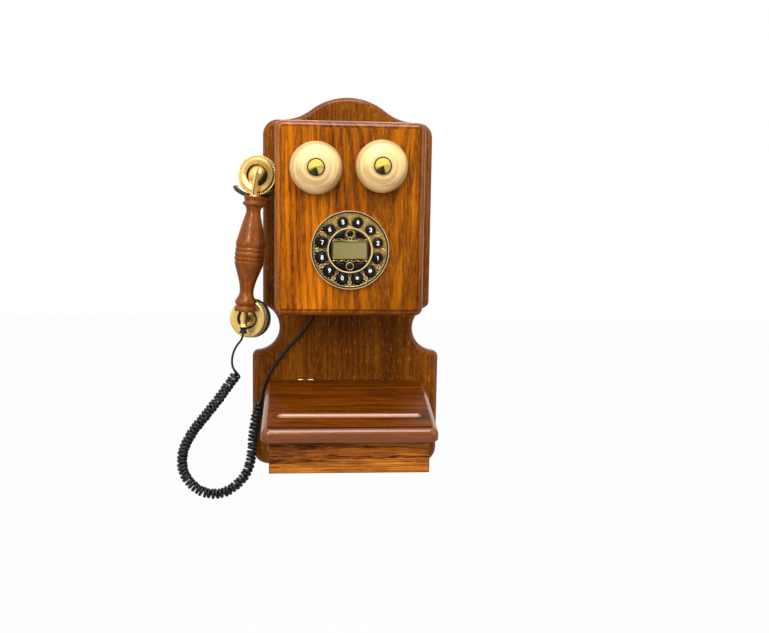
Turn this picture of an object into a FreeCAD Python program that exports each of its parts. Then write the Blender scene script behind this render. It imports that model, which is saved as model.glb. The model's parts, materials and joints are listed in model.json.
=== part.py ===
"""Wooden wall telephone with push-button dial, bells, cradled handset and a lidded shelf.

Frame: +X right, +Y into the wall, +Z up.  The origin is midway between the two keyholes
on the back of the board, so the wall is the plane Y = 0.  All lengths are millimetres.
"""
import FreeCAD, Part
import math
import os

import Sketcher
from FreeCAD import Placement, Rotation, Vector

doc = FreeCAD.newDocument("WallTelephone")

# ---------------------------------------------------------------- driving dimensions

DIMENSIONS = {
    # backboard
    "board_thick": 15.0, "board_half": 100.0, "board_low_half": 112.4, "board_edge": 6.2,
    "arch_top": 72.2, "arch_radius": 71.0, "arch_angle": 38.0, "shoulder": 45.2,
    "shoulder_radius": 18.0, "bite_across": 108.4, "bite_level": -200.0, "bite_radius": 28.15,
    "bite_corner": 7.2, "board_bottom": -369.0, "board_corner": 20.0,
    "board_step": 1.0, "board_border": 6.8,
    # keyhole hangers
    "hanger_spread": 60.0, "hanger_width": 24.0, "hanger_thick": 1.5, "hanger_low": -20.0,
    "hanger_high": 26.0, "keyhole_radius": 4.5, "keyhole_slot": 2.2, "keyhole_run": 12.0,
    "screw_radius": 1.5, "screw_head": 3.2, "screw_long": 24.0, "screw_short": 11.0,
    # upper box and front panel
    "box_half": 70.0, "box_wall": 9.0, "box_top_edge": 32.0, "box_low_edge": -171.0,
    "panel_half": 83.6, "panel_top": 38.7, "panel_bottom": -177.2, "panel_thick": 12.0,
    "panel_front": 84.0, "panel_corner": 9.0, "panel_edge": 7.0, "panel_step": 1.2,
    "panel_border": 7.8, "panel_field_corner": 2.0,
    # bells and ringer
    "bell_radius": 29.0, "bell_left_x": -38.4, "bell_right_x": 34.0, "bell_left_z": -13.0,
    "bell_right_z": -10.2, "bell_lip": 2.4, "bell_depth": 17.5, "bell_wall": 1.3,
    "bell_bore": 2.5, "post_radius": 4.0, "stud_radius": 2.4, "stud_reach": 4.5,
    "washer_radius": 9.7, "washer_thick": 1.2, "cone_radius": 8.4, "cone_height": 7.6,
    "cone_tip": 0.5, "ringer_x": -2.2, "ringer_z": -12.0, "ringer_half": 28.0,
    "ringer_depth": 34.0, "ringer_plate": 2.0, "coil_radius": 7.5, "coil_spread": 13.0,
    "coil_length": 13.5, "pivot_depth": 52.5, "pivot_radius": 1.5, "pivot_play": 0.05,
    "hammer_radius": 2.6, "hammer_rod": 1.0, "hammer_depth": 91.5, "hammer_slot": 9.5,
    "hammer_spread": 15.2, "ringer_tall": 16.0,
    # dial
    "dial_z": -102.9, "dial_radius": 43.5, "dial_rim": 1.7, "dial_thick": 2.6,
    "dial_rim_rise": 1.7, "dial_opening": 40.0, "ring_radius": 25.4, "ring_width": 1.8,
    "ring_rise": 2.2, "key_radius": 6.0, "key_circle": 32.0, "key_gap": 0.15,
    "key_flange": 6.9, "key_flange_thick": 1.6, "key_rise": 3.6, "key_dome": 1.5,
    "small_key_radius": 3.5, "small_key_reach": 18.0, "small_key_rise": 1.8,
    "wedge_outer": 22.3, "wedge_side": 5.9, "wedge_level": 14.0,
    "lcd_half_width": 19.0, "lcd_half_height": 9.25, "lcd_gap": 0.3,
    "lcd_module_half_width": 21.4, "lcd_module_half_height": 11.6,
    "key_board_front": 79.6, "key_board_thick": 1.6, "key_board_radius": 38.6,
    # cradle lever
    "cradle_x": -100.6, "cradle_z": -21.6, "saddle_inner": 24.5, "saddle_thick": 2.8,
    "saddle_near": 57.4, "saddle_far": 49.0, "arm_depth": 53.0, "arm_thick": 4.0,
    "arm_height": 8.0, "arm_z": -34.0, "lever_pivot_x": -38.0, "lever_tail_x": -18.0,
    "lever_slot_low": -40.5, "lever_slot_high": -24.0,
    "switch_gap": 2.7,
    # handset, in its own frame: z along the handle, y from the handle towards the cups
    "handset_x": -116.8, "handset_y": -75.0, "handset_z": -173.6, "handset_lean": 0.0841,
    "handset_pitch": 0.031, "handset_yaw": 18.0, "handle_length": 128.9, "handle_bore": 4.0,
    "ear_shift": -2.8, "ear_level": 152.2, "ear_plane": 10.0, "ear_radius": 21.8,
    "mouth_level": -9.2, "mouth_plane": 13.2, "mouth_radius": 22.2, "cup_wall": 1.3,
    "neck_low": 3.7, "neck_high": 2.4, "sleeve_radius": 4.5, "sleeve_length": 17.9,
    "relief_length": 7.2,
    # cord
    "cord_radius": 1.5, "coil_outer": 6.0,
    # shelf and lid
    "shelf_half": 87.3, "shelf_front_depth": 139.7, "shelf_bottom": -342.4, "shelf_wall": 9.0,
    "shelf_floor_thick": 8.0, "shelf_edge": 1.6,
    "lid_half": 96.2, "lid_length": 133.8, "lid_thick": 16.3,
    "lid_edge": 9.0, "lid_step": 2.0, "lid_corner": 10.0, "lid_field_half": 89.3,
    "lid_field_length": 124.7, "lid_back": 21.0, "lid_back_z": -262.65, "lid_slope": 11.77,
    "groove_half": 79.5, "groove_radius": 6.2, "groove_depth": 3.0, "groove_from_back": 100.0,
    "hinge_depth": 18.2, "hinge_z": -263.3, "knuckle_radius": 1.9, "hinge_pin": 1.0,
    "hinge_play": 0.05, "hinge_width": 17.4, "hinge_x": 48.5, "hinge_leaf": 1.4,
    "hinge_leaf_drop": 14.0, "lid_gap": 0.35,
}

sheet = doc.addObject("Spreadsheet::Sheet", "dim")
for row, (alias, number) in enumerate(DIMENSIONS.items(), start=1):
    sheet.set("A%d" % row, alias)
    sheet.set("B%d" % row, str(number))
    sheet.setAlias("B%d" % row, alias)
doc.recompute()


class Size:
    """A length that keeps the spreadsheet expression it was worked out from."""

    def __init__(self, value, text):
        self.value = value
        self.text = text

    def __float__(self):
        return self.value

    def __neg__(self):
        return Size(-self.value, "-(%s)" % self.text)

    def __add__(self, other):
        return Size(self.value + float(other), "(%s + %s)" % (self.text, expression(other)))

    def __sub__(self, other):
        return Size(self.value - float(other), "(%s - %s)" % (self.text, expression(other)))

    def __mul__(self, other):
        return Size(self.value * float(other), "(%s * %s)" % (self.text, expression(other)))

    def __radd__(self, other):
        return self + other

    def __rsub__(self, other):
        return -self + other

    def __rmul__(self, other):
        return self * other


def expression(length):
    """The text that binds a property to a length."""
    return length.text if isinstance(length, Size) else repr(float(length))


class Dimensions:
    """Reads the spreadsheet's cells by alias, each as a Size."""

    def __getattr__(self, alias):
        return Size(float(sheet.get(alias)), "dim." + alias)


d = Dimensions()
nodes = []

TO_FRONT = Rotation(Vector(1, 0, 0), 90)    # local z points out of the wall, local y up
TO_WALL = Rotation(Vector(1, 0, 0), -90)    # local z points into the wall
TO_RIGHT = Rotation(Vector(0, 1, 0), 90)    # local z points to +X
UPRIGHT = Rotation()

# ---------------------------------------------------------------- building helpers


def place(piece, at, turn=UPRIGHT):
    """Put a piece at a bound position."""
    piece.Placement = Placement(Vector(*[float(value) for value in at]), turn)
    for axis, value in zip("xyz", at):
        if isinstance(value, Size):
            piece.setExpression("Placement.Base." + axis, value.text)
    return piece


def primitive(kind, at, turn=UPRIGHT, **sizes):
    """A Part primitive with bound sizes."""
    piece = doc.addObject("Part::" + kind, kind)
    for name, length in sizes.items():
        piece.setExpression(name, expression(length))
    return place(piece, at, turn)


def block(low, high):
    """A box between two corners, each bound."""
    spans = [upper - lower for lower, upper in zip(low, high)]
    return primitive("Box", low, Length=spans[0], Width=spans[1], Height=spans[2])


def rod(at, turn, radius, length, angle=360):
    """A cylinder, or a sector of one."""
    return primitive("Cylinder", at, turn, Radius=radius, Height=length, Angle=angle)


def cut(base, *tools):
    """One piece less one or more tools."""
    piece = doc.addObject("Part::Cut", "Cut")
    piece.Base = base
    piece.Tool = tools[0] if len(tools) == 1 else group(*tools)
    return piece


def fuse(*parts):
    """One solid from several."""
    piece = doc.addObject("Part::MultiFuse", "Fuse")
    piece.Shapes = list(parts)
    return piece


def group(*parts):
    """Separate solids kept together."""
    piece = doc.addObject("Part::Compound", "Group")
    piece.Links = list(parts)
    return piece


def node(label, piece):
    """Name a finished sub-part and list it for writing."""
    piece.Label = label
    nodes.append(piece)
    return piece


def shape_node(label, shape, placement=None):
    """A sub-part whose shape is made with Part's own functions."""
    piece = doc.addObject("Part::Feature", label)
    piece.Shape = shape
    if placement:
        piece.Placement = placement
    return node(label, piece)


def new_body(at=(0, 0, 0), turn=UPRIGHT):
    """An empty PartDesign body."""
    return place(doc.addObject("PartDesign::Body", "Body"), at, turn)


def sketch_on(body, role):
    """A sketch on one of the body's own origin planes."""
    sketch = body.newObject("Sketcher::SketchObject", "Sketch")
    plane = [item for item in body.Origin.OriginFeatures if item.Role == role][0]
    sketch.AttachmentSupport = (plane, [""])
    sketch.MapMode = "FlatFace"
    return sketch


def polygon(sketch, corners):
    """A closed outline of straight lines whose corners are bound to the spreadsheet."""
    ends = [Vector(float(across), float(up), 0) for across, up in corners]
    for index, start in enumerate(ends):
        sketch.addGeometry(Part.LineSegment(start, ends[(index + 1) % len(ends)]), False)
    for index in range(len(ends)):
        following = (index + 1) % len(ends)
        sketch.addConstraint(Sketcher.Constraint("Coincident", index, 2, following, 1))
    for index, corner in enumerate(corners):
        for kind, axis, length in (("DistanceX", -2, corner[0]), ("DistanceY", -1, corner[1])):
            if abs(float(length)) < 1e-9:
                sketch.addConstraint(Sketcher.Constraint("PointOnObject", index, 1, axis))
                continue
            number = sketch.addConstraint(
                Sketcher.Constraint(kind, -1, 1, index, 1, float(length)))
            sketch.setExpression("Constraints[%d]" % number, expression(length))
    return sketch


def pad(body, sketch, length):
    """Pad a sketch along its normal."""
    feature = body.newObject("PartDesign::Pad", "Pad")
    feature.Profile = sketch
    feature.setExpression("Length", expression(length))
    doc.recompute()
    return body


def revolve(body, sketch):
    """Turn a sketch once about its own vertical axis."""
    feature = body.newObject("PartDesign::Revolution", "Revolution")
    feature.Profile = sketch
    feature.ReferenceAxis = (sketch, ["V_Axis"])
    feature.Angle = 360
    doc.recompute()
    return body


def round_edges(body, radius, wanted):
    """Fillet the edges of a body's tip that a test picks out."""
    tip = body.Tip
    names = ["Edge%d" % number for number, edge in enumerate(tip.Shape.Edges, start=1)
             if wanted(edge)]
    feature = body.newObject("PartDesign::Fillet", "Fillet")
    feature.Base = (tip, names)
    feature.setExpression("Radius", expression(radius))
    doc.recompute()
    return body


def upright_edge(edge):
    """True for an edge that runs along the pad's direction."""
    box = edge.BoundBox
    return box.ZLength > 0.5 and box.XLength < 1e-6 and box.YLength < 1e-6


def edge_at_height(height):
    """A test for edges that lie wholly at one height of the body's own frame."""
    def wanted(edge):
        box = edge.BoundBox
        return abs(box.ZMin - float(height)) < 1e-6 and abs(box.ZMax - float(height)) < 1e-6
    return wanted


def turned(corners, at=(0, 0, 0)):
    """A body turned about its own y axis from an outline of radius and y."""
    body = new_body(at)
    return revolve(body, polygon(sketch_on(body, "XY_Plane"), corners))


def smooth(points):
    """A curve through points."""
    curve = Part.BSplineCurve()
    curve.interpolate([Vector(*point) for point in points])
    return curve.toShape()


# ---------------------------------------------------------------- backboard


def polar(centre, size, degrees):
    """A point of the board's face at an angle about a centre."""
    angle = math.radians(degrees)
    return centre + Vector(math.cos(angle), math.sin(angle), 0) * size


def board_half_outline(side):
    """One half of the board's outline, from its bottom to the arch's top."""
    turn = math.radians(float(d.arch_angle))
    top, radius, shoulder = float(d.arch_top), float(d.arch_radius), float(d.shoulder)
    flare_radius = (top - shoulder) / (1 - math.cos(turn)) - radius
    corner, bite, small = float(d.shoulder_radius), float(d.bite_radius), float(d.bite_corner)
    foot, half, low_half = float(d.board_corner), float(d.board_half), float(d.board_low_half)
    hub = Vector(float(d.bite_across), float(d.bite_level), 0)

    def beside(across, up):
        """Centre of the small corner that touches the bite from above or below."""
        rise = math.sqrt((bite + small) ** 2 - (hub.x - across) ** 2)
        return Vector(across, hub.y + up * rise, 0)

    upper, lower = beside(half - small, 1), beside(low_half - small, -1)
    upper_touch = math.degrees(math.atan2(upper.y - hub.y, upper.x - hub.x))
    lower_touch = math.degrees(math.atan2(lower.y - hub.y, lower.x - hub.x)) + 360
    steep = 90 - float(d.arch_angle)
    arcs = [
        (Vector(low_half - foot, float(d.board_bottom) + foot, 0), foot, -90, 0),
        (lower, small, 0, lower_touch - 180),
        (hub, bite, upper_touch, lower_touch),
        (upper, small, upper_touch - 180, 0),
        (Vector(half - corner, shoulder - corner, 0), corner, 0, 90),
        (Vector((radius + flare_radius) * math.sin(turn), shoulder + flare_radius, 0),
         flare_radius, 180 + steep, 270),
        (Vector(0, top - radius, 0), radius, steep, 90),
    ]
    straights = [
        (Vector(0, float(d.board_bottom), 0), polar(arcs[0][0], foot, -90)),
        (polar(arcs[0][0], foot, 0), polar(lower, small, 0)),
        (polar(upper, small, 0), polar(arcs[4][0], corner, 0)),
        (polar(arcs[4][0], corner, 90), polar(arcs[5][0], flare_radius, 270)),
    ]
    for first, last in straights:
        yield Part.LineSegment(Vector(first.x * side, first.y, 0), Vector(last.x * side, last.y, 0))
    for centre, size, low, high in arcs:
        if side < 0:
            low, high = 180 - high, 180 - low
        circle = Part.Circle(Vector(centre.x * side, centre.y, 0), Vector(0, 0, 1), size)
        yield Part.ArcOfCircle(circle, math.radians(low), math.radians(high))


def make_backboard():
    """Moulded board with pockets in its back for the hangers and the wall screws' heads."""
    body = new_body(turn=TO_FRONT)
    sketch = sketch_on(body, "XY_Plane")
    outline = doc.addObject("Sketcher::SketchObject", "FieldOutline")
    for side in (1, -1):
        for curve in board_half_outline(side):
            sketch.addGeometry(curve, False)
            outline.addGeometry(curve, False)
    pad(body, sketch, d.board_thick - d.board_step)
    round_edges(body, d.board_edge, edge_at_height(d.board_thick - d.board_step))
    place(outline, (0.0, d.board_step * 2 - d.board_thick, 0.0), TO_FRONT)
    inset = doc.addObject("Part::Offset2D", "Inset")
    inset.Source = outline
    inset.setExpression("Value", expression(-d.board_border))
    field = doc.addObject("Part::Extrusion", "Field")
    field.Base = inset
    field.DirMode = "Custom"
    field.Dir = Vector(0, -1, 0)
    field.setExpression("LengthFwd", expression(d.board_step * 2))
    field.Solid = True
    pockets = []
    for side in (-1, 1):
        middle = d.hanger_spread * side
        pockets.append(block((middle - d.hanger_width * 0.5, -d.hanger_thick, d.hanger_low),
                             (middle + d.hanger_width * 0.5, 0.0, d.hanger_high)))
        pockets.append(block((middle - 8.0, -d.hanger_thick - 8.0, -9.0),
                             (middle + 8.0, -d.hanger_thick, d.keyhole_run + 5.0)))
    return node("backboard", cut(fuse(body, field), *pockets))


def make_hangers():
    """Two steel keyhole plates, flush with the board's back."""
    plates = []
    for side in (-1, 1):
        middle = d.hanger_spread * side
        plate = block((middle - d.hanger_width * 0.5, -d.hanger_thick, d.hanger_low),
                      (middle + d.hanger_width * 0.5, 0.0, d.hanger_high))
        entry = rod((middle, 1.0, 0.0), TO_FRONT, d.keyhole_radius, d.hanger_thick + 2.0)
        end = rod((middle, 1.0, d.keyhole_run), TO_FRONT, d.keyhole_slot, d.hanger_thick + 2.0)
        slot = primitive("Box", (middle - d.keyhole_slot, -d.hanger_thick - 1.0, 0.0),
                         Length=d.keyhole_slot * 2, Width=d.hanger_thick + 2.0,
                         Height=d.keyhole_run)
        plates.append(cut(plate, entry, end, slot))
    return node("hanger_plates", group(*plates))


def screw(x, y, z, turn, length):
    """A wood screw: flat head outward, plain shank."""
    head = primitive("Cone", (x, y, z), turn, Radius1=d.screw_head, Radius2=d.screw_radius,
                     Height=2.0)
    shank = rod((x, y, z), turn, d.screw_radius, length)
    return fuse(head, shank)


def make_screws():
    """All wood screws: hangers, upper box, shelf and hinge leaves."""
    screws = []
    for side in (-1, 1):
        for z in (-15.0, 21.0):
            screws.append(screw(d.hanger_spread * side, 0.0, z, TO_FRONT, d.screw_short))
        for z in (20.0, -70.0, -155.0):
            middle = (d.box_half - d.box_wall * 0.5) * side
            screws.append(screw(middle, 0.0, z, TO_FRONT, d.screw_long))
        for z in (-295.0, -325.0):
            middle = (d.shelf_half - d.shelf_wall * 0.5) * side
            screws.append(screw(middle, 0.0, z, TO_FRONT, d.screw_long))
        for shift in (-5.0, 5.0):
            screws.append(screw(d.hinge_x * side + shift, -d.board_thick - d.hinge_leaf,
                                d.hinge_z - 9.0, TO_WALL, d.screw_short))
    return node("wood_screws", group(*screws))


# ---------------------------------------------------------------- upper box


def make_box():
    """Top, bottom and sides of the upper box, between the board and the front panel."""
    back, front = -d.board_thick, d.panel_thick - d.panel_front
    inner = d.box_half - d.box_wall
    node("box_top", block((-inner, front, d.box_top_edge - d.box_wall),
                          (inner, back, d.box_top_edge)))
    floor = block((-inner, front, d.box_low_edge), (inner, back, d.box_low_edge + d.box_wall))
    gland_hole = rod((GLAND[0], GLAND[1], d.box_low_edge - 1.0), UPRIGHT, 3.9, d.box_wall + 2.0)
    jack_hole = block((JACK[0] - 8.0, JACK[1] - 7.0, d.box_low_edge - 1.0),
                      (JACK[0] + 8.0, JACK[1] + 7.0, d.box_low_edge + d.box_wall + 1.0))
    node("box_bottom", cut(floor, gland_hole, jack_hole))
    left = block((-d.box_half, front, d.box_low_edge), (-inner, back, d.box_top_edge))
    right = block((inner, front, d.box_low_edge), (d.box_half, back, d.box_top_edge))
    slot = block((-d.box_half - 1.0, -d.arm_depth - 3.0, d.lever_slot_low),
                 (1.0 - inner, 3.0 - d.arm_depth, d.lever_slot_high))
    node("box_sides", group(cut(left, slot), right))


def rounded_board(depth, inset, thick, corner):
    """A board of the panel's outline, set in all round, with rounded corners."""
    body = new_body((0, -depth, 0), TO_FRONT)
    wide, low, high = d.panel_half - inset, d.panel_bottom + inset, d.panel_top - inset
    outline = polygon(sketch_on(body, "XY_Plane"),
                      [(-wide, low), (wide, low), (wide, high), (-wide, high)])
    pad(body, outline, thick)
    return round_edges(body, corner, upright_edge)


def make_panel():
    """Front panel with a rounded edge, the dial's opening and the ringer's slots."""
    base = rounded_board(d.panel_front - d.panel_thick, 0.0, d.panel_thick - d.panel_step,
                         d.panel_corner)
    round_edges(base, d.panel_edge, edge_at_height(d.panel_thick - d.panel_step))
    field = rounded_board(d.panel_front - d.panel_step * 2, d.panel_border, d.panel_step * 2,
                          d.panel_field_corner)
    behind = 1.0 + d.panel_thick - d.panel_front
    through = d.panel_thick + 2.0
    tools = [rod((0.0, behind, d.dial_z), TO_FRONT, d.dial_opening, through)]
    for x, z in BELLS:
        tools.append(rod((x, behind, z), TO_FRONT, d.stud_radius, through))
    for side in (-1, 1):
        middle = d.ringer_x + d.hammer_spread * side
        tools.append(block((middle - d.hammer_slot * 0.5, -d.panel_front - 1.0, d.ringer_z - 4.5),
                           (middle + d.hammer_slot * 0.5, behind, d.ringer_z + 4.5)))
    return node("front_panel", cut(fuse(base, field), *tools))


# ---------------------------------------------------------------- bells and ringer


def make_bells():
    """Two spun gongs, open towards the panel, on threaded posts."""
    rim, depth, wall = float(d.bell_radius), float(d.bell_depth), float(d.bell_wall)
    outer = [(rim, 0, 0), (rim * 0.997, -3.4, 0), (rim * 0.955, -8.0, 0),
             (rim * 0.855, -12.2, 0), (rim * 0.69, -15.2, 0), (rim * 0.5, -16.8, 0),
             (rim * 0.34, -depth, 0)]
    inner = [(x - wall if y > -7 else x - wall * 0.6, y if y > -1 else y + wall * 0.75, 0)
             for x, y, z in outer]
    inner[-1] = (rim * 0.34, wall - depth, 0)
    bore = float(d.bell_bore)
    edges = [smooth(outer),
             Part.makeLine(Vector(*outer[-1]), Vector(bore, -depth, 0)),
             Part.makeLine(Vector(bore, -depth, 0), Vector(bore, wall - depth, 0)),
             Part.makeLine(Vector(bore, wall - depth, 0), Vector(*inner[-1])),
             smooth(inner[::-1]),
             Part.makeLine(Vector(*inner[0]), Vector(*outer[0]))]
    gong = Part.Face(Part.Wire(edges)).revolve(Vector(0, 0, 0), Vector(0, 1, 0), 360)
    base = -float(d.panel_front + d.bell_lip)
    gongs = []
    for x, z in BELLS:
        gongs.append(gong.copy())
        gongs[-1].Placement = Placement(Vector(float(x), base, float(z)), Rotation())
    shape_node("bells", Part.makeCompound(gongs))

    crown = d.panel_front + d.bell_lip + d.bell_depth
    posts, washers, cones = [], [], []
    for x, z in BELLS:
        spacer = rod((x, -d.panel_front, z), TO_FRONT, d.post_radius,
                     crown - d.bell_wall - d.panel_front)
        stud = rod((x, d.panel_thick - d.panel_front, z), TO_FRONT, d.stud_radius,
                   crown + d.stud_reach - d.panel_front + d.panel_thick)
        posts.append(fuse(spacer, stud))
        disc = rod((x, -crown, z), TO_FRONT, d.washer_radius, d.washer_thick)
        washers.append(cut(disc, rod((x, 1.0 - crown, z), TO_FRONT, d.bell_bore,
                                     d.washer_thick + 2.0)))
        seat = crown + d.washer_thick
        nut = primitive("Cone", (x, -seat, z), TO_FRONT, Radius1=d.cone_radius,
                        Radius2=d.cone_tip, Height=d.cone_height)
        cones.append(cut(nut, rod((x, 1.0 - seat, z), TO_FRONT, d.stud_radius,
                                  d.stud_reach - d.washer_thick + 1.0)))
    node("bell_posts", group(*posts))
    node("bell_washers", group(*washers))
    node("cone_nuts", group(*cones))


def make_ringer():
    """Ringer frame with its pivot pin, two coils, and the rocking armature with hammers."""
    x, z, half = d.ringer_x, d.ringer_z, d.ringer_half
    back, seat = -d.ringer_depth, d.panel_thick - d.panel_front
    tall = d.ringer_tall
    plate = block((x - half, back - d.ringer_plate, z - tall), (x + half, back, z + tall))
    legs = [block((x + half * side - d.ringer_plate * (side > 0), seat, z - tall),
                  (x + half * side + d.ringer_plate * (side < 0), back, z - tall + 8.0))
            for side in (-1, 1)]
    tabs = [block((x - 4.0, -d.pivot_depth - 4.0, z + level), (x + 4.0, back, z + level + 2.0))
            for level in (-tall, tall - 2.0)]
    pin = rod((x, -d.pivot_depth, z - tall), UPRIGHT, d.pivot_radius, tall * 2)
    node("ringer_frame", fuse(plate, pin, *legs, *tabs))
    coils = [rod((x + d.coil_spread * side, back - d.ringer_plate, z), TO_FRONT,
                 d.coil_radius, d.coil_length) for side in (-1, 1)]
    node("ringer_coils", group(*coils))

    bar = block((x - 19.0, -d.pivot_depth - 1.5, z - 5.0), (x + 19.0, 1.5 - d.pivot_depth, z + 5.0))
    boss = rod((x, -d.pivot_depth, z - 7.0), UPRIGHT, 3.6, 14.0)
    hammers = []
    for side in (-1, 1):
        middle = x + d.hammer_spread * side
        hammers.append(rod((middle, -d.pivot_depth, z), TO_FRONT, d.hammer_rod,
                           d.hammer_depth - d.pivot_depth))
        hammers.append(primitive("Sphere", (middle, -d.hammer_depth, z), Radius=d.hammer_radius))
    bore = rod((x, -d.pivot_depth, z - 8.0), UPRIGHT, d.pivot_radius + d.pivot_play, 16.0)
    node("ringer_armature", cut(fuse(bar, boss, *hammers), bore))


# ---------------------------------------------------------------- dial


WEDGE_KEYS = {"key_up_right": (1, 1), "key_up_left": (-1, 1), "key_down_left": (-1, -1),
              "key_down_right": (1, -1)}
SMALL_KEYS = {"key_menu": 1, "key_enter": -1}


def wedge(sides, back, length, play):
    """A bar whose section lies between a circle, an upright line and a level line."""
    reach = d.wedge_outer + play
    disc = rod((0.0, back, d.dial_z), TO_FRONT, reach, length)
    corners = []
    for side, start, middle in ((sides[0], d.wedge_side - play, 0.0),
                                (sides[1], d.wedge_level - play, d.dial_z)):
        near, far = middle + start * side, middle + reach * side
        corners.append((near, far) if side > 0 else (far, near))
    (left, right), (low, high) = corners
    bar = doc.addObject("Part::MultiCommon", "Common")
    bar.Shapes = [disc, block((left, back - length, low), (right, back, high))]
    return bar


def key_places():
    """Names and angles of the twelve keys, anticlockwise from just left of the top."""
    names = ["5", "6", "7", "8", "9", "0", "star", "hash", "1", "2", "3", "4"]
    for index, name in enumerate(names):
        yield "key_" + name, math.radians(105 + 30 * index)


def make_dial():
    """Brass dial plate with holes for every key and for the display."""
    rise = d.dial_thick + d.dial_rim_rise
    face = d.panel_front + d.dial_thick
    rim = d.dial_radius - d.dial_rim
    plate = turned([(0.0, -d.dial_thick), (rim, -d.dial_thick), (rim, -rise),
                    (d.dial_radius, -rise), (d.dial_radius, 0.0), (0.0, 0.0)],
                   (0.0, -d.panel_front, d.dial_z))
    ring = cut(rod((0.0, -face, d.dial_z), TO_FRONT, d.ring_radius, d.ring_rise),
               rod((0.0, 1.0 - face, d.dial_z), TO_FRONT, d.ring_radius - d.ring_width,
                   d.ring_rise + 2.0))
    bosses = [rod((23.4 * side, -d.key_board_front, d.dial_z), TO_FRONT, 1.2,
                  d.panel_front - d.key_board_front) for side in (-1, 1)]
    back = 1.0 - d.panel_front
    through = d.dial_thick + 2.0
    tools = []
    for name, angle in key_places():
        tools.append(rod((d.key_circle * math.cos(angle), back,
                          d.dial_z + d.key_circle * math.sin(angle)), TO_FRONT,
                         d.key_radius + d.key_gap, through))
    for side in SMALL_KEYS.values():
        tools.append(rod((0.0, back, d.dial_z + d.small_key_reach * side), TO_FRONT,
                         d.small_key_radius + d.key_gap, through))
    for sides in WEDGE_KEYS.values():
        tools.append(wedge(sides, back, through, d.key_gap))
    wide, tall = d.lcd_half_width + d.lcd_gap, d.lcd_half_height + d.lcd_gap
    tools.append(block((-wide, -face - 1.0, d.dial_z - tall), (wide, back, d.dial_z + tall)))
    node("dial_plate", cut(fuse(plate, ring, *bosses), *tools))


def make_display():
    """Display module behind the plate, its window, and the circuit board under the keys."""
    wide, tall = d.lcd_module_half_width, d.lcd_module_half_height
    raised = d.panel_front + 1.6
    module = block((-wide, -d.panel_front, d.dial_z - tall),
                   (wide, -d.key_board_front, d.dial_z + tall))
    front = block((-d.lcd_half_width, -raised, d.dial_z - d.lcd_half_height),
                  (d.lcd_half_width, -d.panel_front, d.dial_z + d.lcd_half_height))
    node("lcd_module", fuse(module, front))
    node("lcd_window", block((-d.lcd_half_width, -raised - 1.3, d.dial_z - d.lcd_half_height),
                             (d.lcd_half_width, -raised, d.dial_z + d.lcd_half_height)))
    node("key_circuit_board", rod((0.0, d.key_board_thick - d.key_board_front, d.dial_z),
                                  TO_FRONT, d.key_board_radius, d.key_board_thick))


def make_round_key(name, x, z, radius, flange, rise):
    """A domed key with a flange that keeps it behind the plate."""
    top = d.dial_thick + rise
    neck = -d.key_gap
    foot = neck - d.key_flange_thick
    key = turned([(0.0, -top), (radius * 0.45, -top + d.key_dome * 0.15),
                  (radius * 0.8, -top + d.key_dome * 0.5), (radius, -top + d.key_dome),
                  (radius, -neck), (flange, -neck), (flange, -foot), (0.0, -foot)],
                 (x, -d.panel_front, z))
    node(name, key)


def make_keys():
    """Twelve round keys on a circle, two small round keys and four wedges."""
    for name, angle in key_places():
        make_round_key(name, d.key_circle * math.cos(angle),
                       d.dial_z + d.key_circle * math.sin(angle), d.key_radius, d.key_flange,
                       d.key_rise)
    for name, side in SMALL_KEYS.items():
        make_round_key(name, 0.0, d.dial_z + d.small_key_reach * side, d.small_key_radius,
                       d.small_key_radius + 0.6, d.small_key_rise)
    foot = d.panel_front - d.key_gap - d.key_flange_thick
    top = d.panel_front + d.dial_thick + d.small_key_rise
    for name, sides in WEDGE_KEYS.items():
        node(name, wedge(sides, -foot, top - foot, 0.0))


# ---------------------------------------------------------------- electronics


def make_electronics():
    """Main circuit board on four posts, hook switch and line jack."""
    low, high, deep, thick = -152.0, -78.0, 28.0, 1.6
    board = block((-46.0, -deep - thick, low), (46.0, -deep, high))
    posts = [rod((x, -d.board_thick, z), TO_FRONT, 3.0, deep - d.board_thick)
             for x in (-40.0, 40.0) for z in (low + 6.0, high - 6.0)]
    chips = [block((x, -deep - thick - proud, z), (x + wide, -deep - thick, z + tall))
             for x, z, wide, tall, proud in ((-30.0, -110.0, 18.0, 18.0, 3.0),
                                             (4.0, -100.0, 22.0, 8.0, 4.0),
                                             (-10.0, -144.0, 20.0, 22.0, 15.0))]
    node("main_circuit_board", fuse(board, *posts, *chips))
    x, y, z = JACK
    shell = block((x - 8.0, y - 7.0, d.box_low_edge), (x + 8.0, y + 7.0, z + 15.0))
    socket = block((x - 5.5, y - 4.5, d.box_low_edge - 1.0), (x + 5.5, y + 4.5, z + 11.0))
    node("line_jack", cut(shell, socket))


def make_gland():
    """Rubber bush that the cord leaves the box through."""
    x, y, z = GLAND
    node("cord_gland", fuse(rod((x, y, d.box_low_edge), UPRIGHT, 3.9, d.box_wall),
                            rod((x, y, d.box_low_edge - 1.6), UPRIGHT, 5.4, 1.6),
                            primitive("Cone", (x, y, z), Radius1=2.4, Radius2=3.4,
                                      Height=d.box_low_edge - 1.6 - z)))


# ---------------------------------------------------------------- cradle lever


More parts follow.
